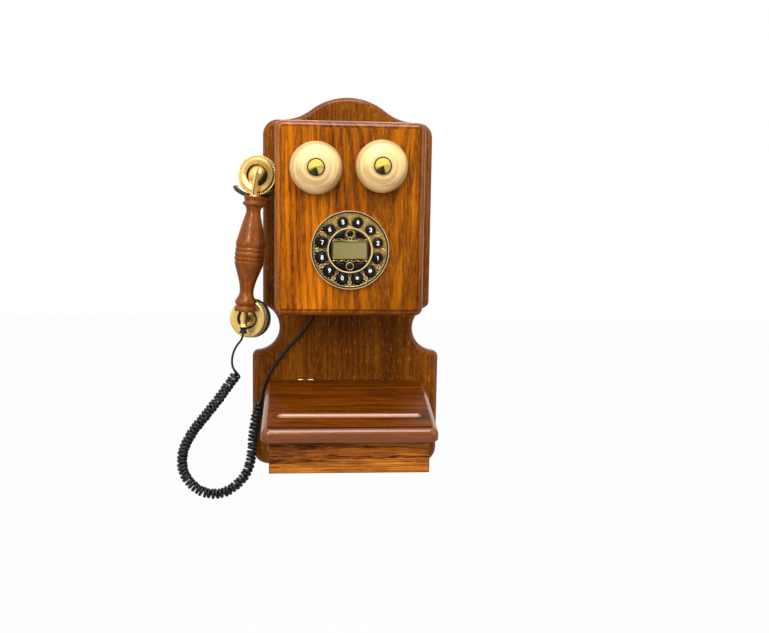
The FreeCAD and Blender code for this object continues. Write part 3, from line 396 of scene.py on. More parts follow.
class Value:
    """A shader's number or vector; numbers add, subtract and multiply as plain ones do."""

    def __init__(self, graph: "Graph", socket: bpy.types.NodeSocket) -> None:
        """Hold an output of one of the graph's nodes."""
        self.graph, self.socket = graph, socket

    def __add__(self, other: "Value | float") -> "Value":
        """The sum."""
        return self.graph.math("ADD", self, other)

    def __sub__(self, other: "Value | float") -> "Value":
        """The difference."""
        return self.graph.math("SUBTRACT", self, other)

    def __rsub__(self, other: float) -> "Value":
        """A plain number less this one."""
        return self.graph.math("SUBTRACT", other, self)

    def __mul__(self, other: "Value | float") -> "Value":
        """The product."""
        return self.graph.math("MULTIPLY", self, other)

    def __abs__(self) -> "Value":
        """The number without its sign."""
        return self.graph.math("ABSOLUTE", self)

    def most(self, other: "Value | float") -> "Value":
        """The larger of the two."""
        return self.graph.math("MAXIMUM", self, other)

    def least(self, other: "Value | float") -> "Value":
        """The smaller of the two."""
        return self.graph.math("MINIMUM", self, other)

    def under(self, limit: float) -> "Value":
        """1 below the limit and 0 above it."""
        return self.graph.math("LESS_THAN", self, limit)

    def span(self, low: float, high: float, start: float = 0.0, end: float = 1.0) -> "Value":
        """A smooth step from start to end while the number goes from low to high."""
        return self.graph.out("MapRange", {0: self, 1: low, 2: high, 3: start, 4: end},
                              interpolation_type="SMOOTHSTEP")

    def band(self, rise: Span, fall: Span) -> "Value":
        """1 between a smooth rise and a smooth fall, and 0 outside them."""
        return self.span(*rise) * self.span(*fall, 1.0, 0.0)

    def dot(self, way: Triple) -> "Value":
        """How far a vector goes along a direction."""
        return self.graph.out("VectorMath", {0: self, 1: way}, "Value", operation="DOT_PRODUCT")

    def parts(self) -> tuple["Value", ...]:
        """The three numbers of a vector."""
        made = self.graph.node("SeparateXYZ", {0: self})
        return tuple(Value(self.graph, socket) for socket in made.outputs)


class Graph:
    """Short calls for adding and joining shader nodes in one tree."""

    def __init__(self, tree: bpy.types.NodeTree) -> None:
        """Work on this tree."""
        self.tree = tree

    def node(self, kind: str, inputs: dict | None = None,
             **settings: object) -> bpy.types.Node:
        """Add a node.

        Args:
            kind: the node's type, without its first words.
            inputs: a constant or another node's output for each input name or number.
            **settings: the node's own properties.

        Returns:
            The node.
        """
        made = self.tree.nodes.new("ShaderNode" + kind)
        for name, value in settings.items():
            setattr(made, name, value)
        self.feed(made, inputs or {})
        return made

    def feed(self, node: bpy.types.Node, inputs: dict) -> None:
        """Give a node's inputs their constants or other nodes' outputs.

        Args:
            node: the node that is fed.
            inputs: a constant, an output or a Value for each input name or number.
        """
        for name, value in inputs.items():
            socket = node.inputs[name]
            value = value.socket if isinstance(value, Value) else value
            if isinstance(value, bpy.types.NodeSocket):
                self.tree.links.new(value, socket)
            else:
                socket.default_value = (*value[:3], 1.0) if socket.type == "RGBA" else value

    def out(self, kind: str, inputs: dict | None = None, output: int | str = 0,
            **settings: object) -> Value:
        """Add a node and take one of its outputs."""
        return Value(self, self.node(kind, inputs, **settings).outputs[output])

    def math(self, operation: str, *values: Value | float) -> Value:
        """A number worked out from one, two or three others."""
        return self.out("Math", dict(enumerate(values)), operation=operation)

    def reach(self, first: Value, second: Value) -> Value:
        """The length of the hypotenuse over two sides."""
        return self.math("SQRT", first * first + second * second)

    def scaled(self, vector: Value, factors: Triple) -> Value:
        """A vector with each of its numbers multiplied by its own factor."""
        return self.out("VectorMath", {0: vector, 1: factors}, operation="MULTIPLY")

    def less(self, vector: Value, other: Value | Triple) -> Value:
        """The vector less another."""
        return self.out("VectorMath", {0: vector, 1: other}, operation="SUBTRACT")

    def mix(self, share: Value | float, first: Value | Colour, second: Value | Colour,
            blend: str = "MIX") -> Value:
        """One colour over another."""
        return self.out("Mix", {0: share, 6: first, 7: second}, 2, data_type="RGBA",
                        blend_type=blend)

    def noise(self, vector: Value, scale: Value | float, detail: float,
              rough: float = 0.5) -> Value:
        """Noise from 0 to 1 over a vector."""
        return self.out("TexNoise", {"Vector": vector, "Scale": scale, "Detail": detail,
                                     "Roughness": rough})

    def place(self, kind: str = "Object") -> Value:
        """The piece's own coordinates, of the kind that is named."""
        return self.out("TexCoord", output=kind)

    def bump(self, height: Value, distance: float, strength: float) -> Value:
        """The normal of a surface in low relief."""
        return self.out("Bump", {"Height": height, "Distance": distance, "Strength": strength})

    def group(self, tree: bpy.types.NodeTree, inputs: dict) -> dict[str, Value]:
        """Place a node group with its own values, and name its outputs."""
        made = self.node("Group", inputs, node_tree=tree)
        return {socket.name: Value(self, socket) for socket in made.outputs}


def cleared(owner: bpy.types.Material | bpy.types.World) -> Graph:
    """The graph of a material or world, emptied.

    Args:
        owner: the material or world.

    Returns:
        Its graph.
    """
    owner.use_nodes = True
    owner.node_tree.nodes.clear()
    return Graph(owner.node_tree)


def new_group(name: str, inputs: Sequence[tuple], outputs: Sequence[tuple]
              ) -> tuple[Graph, dict[str, Value], bpy.types.Node]:
    """An empty node group with its sockets.

    Args:
        name: the group's name.
        inputs: name, kind and default value of each input.
        outputs: name and kind of each output.

    Returns:
        The group's graph, its inputs by name, and its output node.
    """
    tree = bpy.data.node_groups.new(name, "ShaderNodeTree")
    for label, kind, value in inputs:
        socket = tree.interface.new_socket(label, in_out="INPUT", socket_type="NodeSocket" + kind)
        if value is not None:
            socket.default_value = (*value, 1.0) if kind == "Color" else value
    for label, kind in outputs:
        tree.interface.new_socket(label, in_out="OUTPUT", socket_type="NodeSocket" + kind)
    graph = Graph(tree)
    source, target = (tree.nodes.new("NodeGroup" + end) for end in ("Input", "Output"))
    return graph, {socket.name: Value(graph, socket) for socket in source.outputs}, target


# Each noise of the oak: how tightly it is drawn along the grain's x, y and z, its detail, its
# roughness, and where the smooth step lies that makes a mask of it.
OAK_MASKS: dict[str, tuple[Triple, float, float, Span]] = {
    "cloud": ((34.0, 34.0, 5.0), 2.0, 0.5, (0.36, 0.64)),
    "fibre": ((560.0, 560.0, 16.0), 4.0, 0.75, (0.4, 0.62)),
    "ragged": ((800.0, 800.0, 70.0), 3.0, 0.7, (0.4, 0.58)),
    "dashes": ((1500.0, 1500.0, 60.0), 2.0, 0.6, (0.52, 0.64)),
    "worn": ((1000.0, 1000.0, 90.0), 3.0, 0.7, (0.6, 0.64)),
    "stripe": ((150.0, 150.0, 5.0), 4.0, 0.65, (0.49, 0.57)),
}
# The two noises that bend the growth rings: the same, with metres in place of the step.
OAK_BENDS = (((15.0, 15.0, 3.0), 2.0, 0.5, 0.02), ((170.0, 170.0, 12.0), 3.0, 0.6, 0.004))
LATE_WOOD = ((0.4, 0.66), (0.92, 1.0))
EARLY_WOOD = (0.0, 0.35)
# Shares: of pores in early and late wood, of a line's ragged gaps, of dark in a fibre.
EARLY_PORES, LATE_PORES, LEAST_RAGGED, FIBRE_DARK = 1.0, 0.4, 0.4, 0.6
# From where to where the cloud lightens, and the strength of the late lines at both.
FADED_LINES = (0.25, 0.75, 1.0, 0.5)


def oak_group() -> bpy.types.NodeTree:
    """Figure of a sawn oak board whose grain runs along the vector's z.

    Growth rings are cylinders about a leaning pith: the distance from it, bent by noise,
    over the ring spacing, counts rings, and its fraction darkens towards each late wood line.
    Stripes and fibres are noise drawn out along the grain, pores are thin dark dashes, and
    flecks are pale ones where the lacquer is worn.

    Returns:
        The group, with a colour, the pores' height and a mask of what dulls the sheen.
    """
    graph, given, target = new_group(
        "oak figure",
        [("Vector", "Vector", None), ("Pith", "Vector", (0.0, 0.02, 0.0)),
         ("Lean", "Float", 0.1), ("Ring Spacing", "Float", 0.005), ("Waviness", "Float", 1.0),
         ("Light", "Color", (0.5, 0.2, 0.05)), ("Middle", "Color", (0.35, 0.12, 0.03)),
         ("Dark", "Color", (0.1, 0.03, 0.01)), ("Line Strength", "Float", 0.7),
         ("Stripe Strength", "Float", 0.5), ("Stripe Scale", "Float", 1.0),
         ("Fibre Strength", "Float", 0.4), ("Pore Strength", "Float", 0.6),
         ("Fleck", "Color", (0.5, 0.3, 0.12)), ("Fleck Strength", "Float", 0.0)],
        [("Color", "Color"), ("Height", "Float"), ("Sheen Mask", "Float")])
    vector, middle, dark = given["Vector"], given["Middle"], given["Dark"]
    x, y, z = graph.less(vector, given["Pith"]).parts()
    slow, quick = ((graph.noise(graph.scaled(vector, drawn), 1.0, detail, rough) - 0.5) * size
                   for drawn, detail, rough, size in OAK_BENDS)
    bend = (slow + quick) * given["Waviness"]
    rings = graph.math("FRACT", graph.math(
        "DIVIDE", graph.reach(x + bend, y + z * given["Lean"] + bend * 0.5),
        given["Ring Spacing"]))
    late = rings.band(*LATE_WOOD)
    noise, mask = {}, {}
    for name, (drawn, detail, rough, step) in OAK_MASKS.items():
        scale = given["Stripe Scale"] if name == "stripe" else 1.0
        noise[name] = graph.noise(graph.scaled(vector, drawn), scale, detail, rough)
        mask[name] = noise[name].span(*step)
    pores = mask["dashes"] * (rings.span(*EARLY_WOOD, 1.0, 0.0) * (EARLY_PORES - LATE_PORES)
                              + LATE_PORES)
    lines = late * noise["cloud"].span(*FADED_LINES) * given["Line Strength"]
    streaks = mask["stripe"] * given["Stripe Strength"]
    base = graph.mix(mask["cloud"], middle, given["Light"])
    base = graph.mix(mask["fibre"] * given["Fibre Strength"], base,
                     graph.mix(FIBRE_DARK, middle, dark))
    ragged = mask["ragged"] * (1.0 - LEAST_RAGGED) + LEAST_RAGGED
    base = graph.mix(streaks.most(lines) * ragged, base, dark)
    base = graph.mix(pores * given["Pore Strength"], base, dark)
    base = graph.mix(mask["worn"] * given["Fleck Strength"], base, given["Fleck"])
    graph.feed(target, {"Color": base, "Height": pores * -1.0, "Sheen Mask": pores.most(late)})
    return graph.tree


CLOUD_STEP, SPECK_STEP, SMUDGE_STEP = (0.38, 0.72), (0.58, 0.72), (0.35, 0.7)
SPECK_HEIGHT = 0.3
SCRATCH_STRETCH = (1.0, 1.0, 9.0)


def patina_group() -> bpy.types.NodeTree:
    """Tarnish on brass: clouds and specks, from 0 for clean metal to 1 for tarnish.

    Returns:
        The group, with the tarnish's mask and a height.
    """
    graph, given, target = new_group(
        "brass patina",
        [("Vector", "Vector", None), ("Cloud Scale", "Float", 60.0), ("Amount", "Float", 0.4),
         ("Speck Scale", "Float", 900.0), ("Speck Amount", "Float", 0.2)],
        [("Mask", "Float"), ("Height", "Float")])
    cloud = graph.noise(given["Vector"], given["Cloud Scale"], 4.0, 0.6)
    speck = graph.noise(given["Vector"], given["Speck Scale"], 2.0)
    clouds = cloud.span(*CLOUD_STEP) * given["Amount"]
    specks = speck.span(*SPECK_STEP) * given["Speck Amount"]
    graph.feed(target, {"Mask": clouds.most(specks), "Height": speck * SPECK_HEIGHT + cloud})
    return graph.tree


def handling_group() -> bpy.types.NodeTree:
    """Fine scratches and smudges on a glossy surface.

    Returns:
        The group, with the smudges' mask and the scratches' height.
    """
    graph, given, target = new_group(
        "handling",
        [("Vector", "Vector", None), ("Smudge Scale", "Float", 45.0),
         ("Scratch Scale", "Float", 160.0)],
        [("Smudge", "Float"), ("Height", "Float")])
    smudge = graph.noise(given["Vector"], given["Smudge Scale"], 3.0, 0.6)
    scratch = graph.noise(graph.scaled(given["Vector"], SCRATCH_STRETCH),
                          given["Scratch Scale"], 3.0)
    graph.feed(target, {"Smudge": smudge.span(*SMUDGE_STEP), "Height": scratch})
    return graph.tree


OAK, PATINA, HANDLING = oak_group(), patina_group(), handling_group()


# ---------------------------------------------------------------- finishes


class Grain(Enum):
    """Which way a board's grain runs, as the turn that lays that way along z."""

    UPRIGHT = (0.0, 0.0, 0.0)
    SIDEWAYS = (0.0, -math.pi / 2, 0.0)
    FORWARD = (math.pi / 2, 0.0, 0.0)
    HANDLE = (0.0, HANDLE_LEAN, 0.0)


@dataclass(frozen=True)
class Finish:
    """What every finish has: a name and a shader of its own."""

    name: str

    def material(self) -> bpy.types.Material:
        """Build the material.

        Returns:
            The material, whose shader has what inputs gives.
        """
        made = bpy.data.materials.new(self.name)
        graph = cleared(made)
        shader = graph.node("BsdfPrincipled")
        graph.node("OutputMaterial", {0: shader.outputs[0]})
        graph.feed(shader, self.inputs(graph))
        return made

    def inputs(self, graph: Graph) -> dict:
        """What the shader is fed; each finish works it out its own way.

        Args:
            graph: the material's graph.

        Returns:
            A constant or a Value for each input's name.
        """
        return {}


@dataclass(frozen=True)
class Wood(Finish):
    """Lacquered oak, with a redder stain on the rounded edges."""

    grain: Grain = Grain.UPRIGHT
    face: Triple = (0.0, -1.0, 0.0)
    pith: Triple = (0.0, 0.02, 0.0)
    lean: float = 0.1
    spacing: float = 0.005
    waviness: float = 1.0
    light: Colour = (0.45, 0.17, 0.03)
    middle: Colour = (0.32, 0.11, 0.02)
    dark: Colour = (0.08, 0.025, 0.006)
    line: float = 0.7
    stripe: float = 0.5
    stripe_scale: float = 1.0
    fibre: float = 0.4
    pore: float = 0.6
    fleck: Colour = (0.5, 0.26, 0.1)
    flecks: float = 0.0
    rounded: Span = (0.9, 0.995)
    edge: Colour = (0.2, 0.06, 0.025)
    edge_share: float = 0.8
    edge_pale: float = 0.35
    edge_coat: float = 0.9
    # Painted shade: a dark line on faces turned a little off the face's way, in the crease between
    # the field and the moulding.
    crease: tuple[Span, Span] = ((0.965, 0.98), (0.9985, 0.9999))
    crease_shade: float = 0.0
    # Painted shade: darker and tinted along a way across the piece, over a span of place along it.
    painted_shade_span: Span = (1.0, 2.0)
    painted_shade_way: Triple = (0.7, 0.0, 0.9)
    painted_shade_share: float = 0.6
    painted_shade_tint: Colour = (0.5, 0.42, 0.5)
    # Painted highlight: a pale colour laid where the groove's lacquer lies.
    groove_highlight: Colour = (0.5, 0.26, 0.17)
    groove_highlight_share: float = 0.6
    rough: float = 0.3
    smudged: float = 0.08
    open_pored: float = 0.1
    coat: float = 0.0
    coat_rough: float = 0.16
    gloss: float = 0.06
    pore_depth: float = 0.00025
    pore_relief: float = 0.5

    def inputs(self, graph: Graph) -> dict:
        """Oak figure, edge stain, painted shade and a painted highlight, pores in relief and a
        lacquer coat.

        Args:
            graph: the material's graph.

        Returns:
            A constant or a Value for each input's name.
        """
        place = graph.place()
        turned = graph.out("Mapping", {"Vector": place, "Rotation": self.grain.value})
        oak = graph.group(OAK, {
            "Vector": turned, "Pith": self.pith, "Lean": self.lean,
            "Ring Spacing": self.spacing, "Waviness": self.waviness, "Light": self.light,
            "Middle": self.middle, "Dark": self.dark, "Line Strength": self.line,
            "Stripe Strength": self.stripe, "Stripe Scale": self.stripe_scale,
            "Fibre Strength": self.fibre, "Pore Strength": self.pore,
            "Fleck": self.fleck, "Fleck Strength": self.flecks})
        facing = graph.place("Normal").dot(self.face)
        edge = facing.span(*self.rounded, 1.0, 0.0)
        colour = graph.mix(edge * self.edge_share, oak["Color"],
                           graph.mix(self.edge_pale, self.edge, oak["Color"]))
        # painted shade: a dark line in the crease by the moulding
        if self.crease_shade:
            colour = graph.mix(facing.band(*self.crease) * self.crease_shade, colour, self.dark)
        # painted shade: darker towards one side of the piece
        painted_shade = place.dot(self.painted_shade_way).span(*self.painted_shade_span, 0.0, self.painted_shade_share)
        colour = graph.mix(painted_shade, colour, graph.mix(1.0, colour, self.painted_shade_tint, "MULTIPLY"))
        lacquer = self.lacquer(place)
        smudge = graph.group(HANDLING, {"Vector": place})["Smudge"]
        return {
            # painted highlight: the pale colour where the groove's lacquer lies
            "Base Color": graph.mix(lacquer * self.groove_highlight_share, colour, self.groove_highlight),
            "Roughness": smudge * self.smudged + self.rough + oak["Sheen Mask"] * self.open_pored,
            "Specular IOR Level": self.gloss,
            "Coat Weight": (edge * self.edge_coat + self.coat).most(lacquer),
            "Coat Roughness": self.coat_rough,
            "Normal": graph.bump(oak["Height"], self.pore_depth, self.pore_relief)}

    def lacquer(self, place: Value) -> Value | float:
        """Share of thick lacquer, which also carries a painted highlight, where a groove was cut;
        none on a plain board.
        """
        return 0.0


@dataclass(frozen=True)
class LidWood(Wood):
    """The lid's oak, with lacquer and a painted highlight in the pencil groove."""

    level: float = -0.25284
    groove: float = 0.17413
    half_wide: float = 0.0051
    half_long: float = 0.0801
    depth: float = 0.0032
    lip: Span = (0.0001, 0.0006)
    fade: float = 0.0003

    def lacquer(self, place: Value) -> Value:
        """1 just below the lid's face and within the groove's length and width.

        Args:
            place: the piece's own coordinates.

        Returns:
            The groove's mask.
        """
        below = self.level - place.dot(LID_FACE)
        off = abs(place.dot((0.0, -LID_FACE[2], LID_FACE[1])) - self.groove)
        sunk = below.span(*self.lip) * below.under(self.depth)
        sunk = sunk * abs(place.parts()[0]).under(self.half_long)
        return sunk * off.span(self.half_wide, self.half_wide + self.fade, 1.0, 0.0)


@dataclass(frozen=True)
class Brass(Finish):
    """Brass with patina, with painted shade on the faces that turn a given way and over one side.
    """

    metal: Colour = (0.82, 0.62, 0.28)
    tarnish: Colour = (0.16, 0.09, 0.03)
    rough: float = 0.16
    tarnished: float = 0.25
    specks: float = 0.15
    clouds: float = 60.0
    dulled: float = 0.35
    bump_height: float = 0.00004
    relief: float = 0.6
    metallic: float = 1.0
    # Painted shade: faces that look along this way, past the range, take the shadow colour.
    shade_facing: Triple = (0.0, 0.0, -1.0)
    shade_facing_range: Span = (-0.45, 0.3)
    shade_facing_amount: float = 0.0
    shadow: Colour = (0.03, 0.018, 0.008)
    # Painted shade: tarnish laid on where x passes this span.
    shaded_side: Span = (-0.005, 0.005)
    shaded_side_amount: float = 0.0

    def patina(self, graph: Graph, place: Value) -> dict[str, Value]:
        """The tarnish of this brass, as a mask and a height."""
        return graph.group(PATINA, {"Vector": place, "Cloud Scale": self.clouds,
                                    "Amount": self.tarnished, "Speck Amount": self.specks})

    def metal_inputs(self, graph: Graph, mask: Value, marks: Value, height: Value) -> dict:
        """Metal under tarnish, with painted shade on the faces that look a given way.

        Args:
            graph: the material's graph.
            mask: share of tarnish, painted shade included.
            marks: share of what roughens the metal.
            height: the relief's height.

        Returns:
            A constant or a Value for each input's name.
        """
        colour = graph.mix(mask, self.metal, self.tarnish)
        # painted shade on the faces that look the given way
        if self.shade_facing_amount:
            facing = graph.place("Normal").dot(self.shade_facing)
            colour = graph.mix(facing.span(*self.shade_facing_range, 0.0, self.shade_facing_amount), colour,
                               self.shadow)
        return {"Base Color": colour, "Roughness": marks * self.dulled + self.rough,
                "Metallic": self.metallic,
                "Normal": graph.bump(height, self.bump_height, self.relief)}

    def inputs(self, graph: Graph) -> dict:
        """Patina in clouds and specks, and tarnish laid on as painted shade over one side where
        there is one.

        Args:
            graph: the material's graph.

        Returns:
            A constant or a Value for each input's name.
        """
        place = graph.place()
        patina = self.patina(graph, place)
        mask = patina["Mask"]
        # painted shade: tarnish over one side, by x
        if self.shaded_side_amount:
            mask = mask.most(place.parts()[0].span(*self.shaded_side, 0.0, self.shaded_side_amount))
        return self.metal_inputs(graph, mask, mask, patina["Height"])


@dataclass(frozen=True)
class SpunBrass(Brass):
    """Pale brass brushed in circles about each bell's centre.

    Each brushing is turns of the noise per metre outward and across, with the step and the
    share by which it tarnishes; rim is where a painted shade darkens the edge.
    """

    dulled: float = 0.14
    relief: float = 0.8
    fine: Span = (2600.0, 22.0)
    fine_step: Span = (0.42, 0.66)
    fine_share: float = 0.25
    coarse: Span = (330.0, 26.0)
    coarse_step: Span = (0.45, 0.66)
    coarse_share: float = 0.55
    # Painted shade that darkens each bell towards its edge.
    rim: Span = (0.026, 0.0292)
    rim_shade_share: float = 0.3

    def brushing(self, graph: Graph, across: Value, up: Value, tight: Span, detail: float,
                 rough: float) -> Value:
        """Noise drawn out into rings about a bell's centre.

        Args:
            graph: the material's graph.
            across: metres to the right of the centre.
            up: metres above it.
            tight: turns of the noise per metre outward and across.
            detail: the noise's detail.
            rough: the noise's roughness.

        Returns:
            The noise.
        """
        outward = graph.reach(across, up) * tight[0]
        drawn = graph.out("CombineXYZ", {0: outward, 1: across * tight[1], 2: up * tight[1]})
        return graph.noise(drawn, 1.0, detail, rough)

    def inputs(self, graph: Graph) -> dict:
        """Fine rings about the nearer bell's centre, in colour, roughness and relief.

        Args:
            graph: the material's graph.

        Returns:
            A constant or a Value for each input's name.
        """
        x, y, z = graph.place().parts()
        right = graph.math("GREATER_THAN", x, 0.0)
        across, up = (line - (right * (far - near) + near)
                      for line, near, far in zip((x, z), LEFT_BELL, RIGHT_BELL))
        brushed = self.brushing(graph, across, up, self.fine, 3.0, 0.6)
        bands = self.brushing(graph, across, up, self.coarse, 2.0, 0.5)
        # tarnish of the brushing, and painted shade towards the rim
        mask = (bands.span(*self.coarse_step) * self.coarse_share
                + brushed.span(*self.fine_step) * self.fine_share
                + graph.reach(across, up).span(*self.rim, 0.0, self.rim_shade_share))
        return self.metal_inputs(graph, mask, brushed, brushed)


@dataclass(frozen=True)
class DialBrass(Brass):
    """Antique brass: rim and inner ring worn bright with a painted highlight, the groove painted
    black as shade.

    The spans are distances from the dial's centre, or heights over it, over which each
    part of the face begins or ends.
    """

    dulled: float = 0.3
    relief: float = 0.8
    # Worn bright rim and ring carrying a painted highlight: pale and less metallic, so they stay
    # bright.
    rubbed_and_highlight: Colour = (0.96, 0.74, 0.38)
    rubbed_and_highlight_share: float = 0.9
    rubbed_and_highlight_metallic: float = 0.4
    least_worn: float = 0.92
    # Painted shade: the groove at the rim's inner foot is painted this black.
    black: Colour = (0.008, 0.006, 0.004)
    ring: tuple[Span, Span] = ((0.0239, 0.0241), (0.025, 0.0252))
    rim: Span = (0.0429, 0.043)
    groove: tuple[Span, Span] = ((0.0412, 0.0413), (0.0428, 0.0429))
    # Painted shade: tarnish deepens towards the lower left along this way, over this span.
    shade_slope_way: Triple = (0.55, 0.0, 0.83)
    shade_slope: tuple[float, float, float, float] = (-0.036, 0.045, 1.0, -0.05)
    inside: Span = (0.0226, 0.0233)
    inside_top: tuple[float, float, float, float] = (0.013, 0.016, 0.6, 0.0)
    patina_share: float = 1.3

    def inputs(self, graph: Graph) -> dict:
        """Bands by distance from the dial's centre: bright ring, dark field, groove, rim.

        Args:
            graph: the material's graph.

        Returns:
            A constant or a Value for each input's name.
        """
        place = graph.place()
        x, y, z = graph.less(place, DIAL.origin).parts()
        reach = graph.reach(x, z)
        bright = reach.band(*self.ring).most(reach.span(*self.rim))
        patina = self.patina(graph, place)
        # painted shade towards the lower left, and darker tarnish inside the inner ring except
        # near its top; worn sums these with the patina
        corner = x * self.shade_slope_way[0] + z * self.shade_slope_way[2]
        inside = reach.span(*self.inside, 1.0, 0.0) * z.span(*self.inside_top)
        worn = patina["Mask"] * self.patina_share + corner.span(*self.shade_slope) + inside
        worn = worn.least(1.0).most(0.0) * (1.0 - bright * self.least_worn)
        # painted shade: the groove inside the rim, painted black
        groove = reach.band(*self.groove)
        base = graph.mix(worn, self.metal, self.tarnish)
        # painted highlight on the worn bright ring and rim
        base = graph.mix(bright * self.rubbed_and_highlight_share, base, self.rubbed_and_highlight)
        plated = bright.span(0.0, 1.0, self.metallic, self.rubbed_and_highlight_metallic)
        return {"Base Color": graph.mix(groove, base, self.black),
                "Roughness": worn * self.dulled + self.rough,
                "Metallic": (1.0 - groove) * plated,
                "Normal": graph.bump(patina["Height"], self.bump_height, self.relief)}


@dataclass(frozen=True)
class Moulded(Finish):
    """Moulded plastic, rubber or board, with handling marks."""

    colour: Colour = (0.02, 0.02, 0.02)
    rough: float = 0.4
    marks: float = 0.1
    coat: float = 0.0
    coat_rough: float = 0.08
    texture: float = 0.00004
    texture_scale: float = 900.0
    texture_relief: float = 0.5
    paler: Span = (1.25, 0.004)
    metallic: float = 0.0
    gloss: float = 0.3

    def inputs(self, graph: Graph) -> dict:
        """One colour with a slight cloud in it, smudges in its gloss and a fine texture.

        Args:
            graph: the material's graph.

        Returns:
            A constant or a Value for each input's name.
        """
        marks = graph.group(HANDLING, {"Vector": graph.place(),
                                       "Scratch Scale": self.texture_scale})
        paler = tuple(min(1.0, value * self.paler[0] + self.paler[1]) for value in self.colour)
        return {"Base Color": graph.mix(marks["Smudge"], self.colour, paler),
                "Roughness": marks["Smudge"] * self.marks + self.rough,
                "Metallic": self.metallic, "Specular IOR Level": self.gloss,
                "Coat Weight": self.coat, "Coat Roughness": self.coat_rough,
                "Normal": graph.bump(marks["Height"], self.texture, self.texture_relief)}


@dataclass(frozen=True)
class Display(Finish):
    """Grey-olive liquid crystal behind clear film, with painted light that makes it a little
    lighter to one side.
    """

    left: Colour = (0.19, 0.165, 0.045)
    right: Colour = (0.25, 0.205, 0.075)
    clouded: Colour = (0.15, 0.135, 0.04)
    clouds: float = 90.0
    cloud_share: float = 0.25
    half_wide: float = 0.02
    rough: float = 0.35
    coat: float = 0.25
    coat_rough: float = 0.05

    def inputs(self, graph: Graph) -> dict:
        """Olive with a slow painted-light gradient from left to right and faint clouds.

        Args:
            graph: the material's graph.

        Returns:
            A constant or a Value for each input's name.
        """
        place = graph.place()
        across = graph.less(place, DIAL.origin).parts()[0]
        # painted light: lighter towards the right
        base = graph.mix(across.span(-self.half_wide, self.half_wide), self.left, self.right)
        cloud = graph.noise(place, self.clouds, 2.0) * self.cloud_share
        return {"Base Color": graph.mix(cloud, base, self.clouded), "Roughness": self.rough,
                "Coat Weight": self.coat, "Coat Roughness": self.coat_rough}


# Both cups take painted shade on faces that look right and down.
CUP_BRASS = dict(metal=(0.92, 0.63, 0.2), tarnished=0.1, specks=0.0, clouds=25.0,
                 bump_height=0.0000005, shade_facing=(0.8, -0.1, -0.6), shade_facing_amount=0.93)

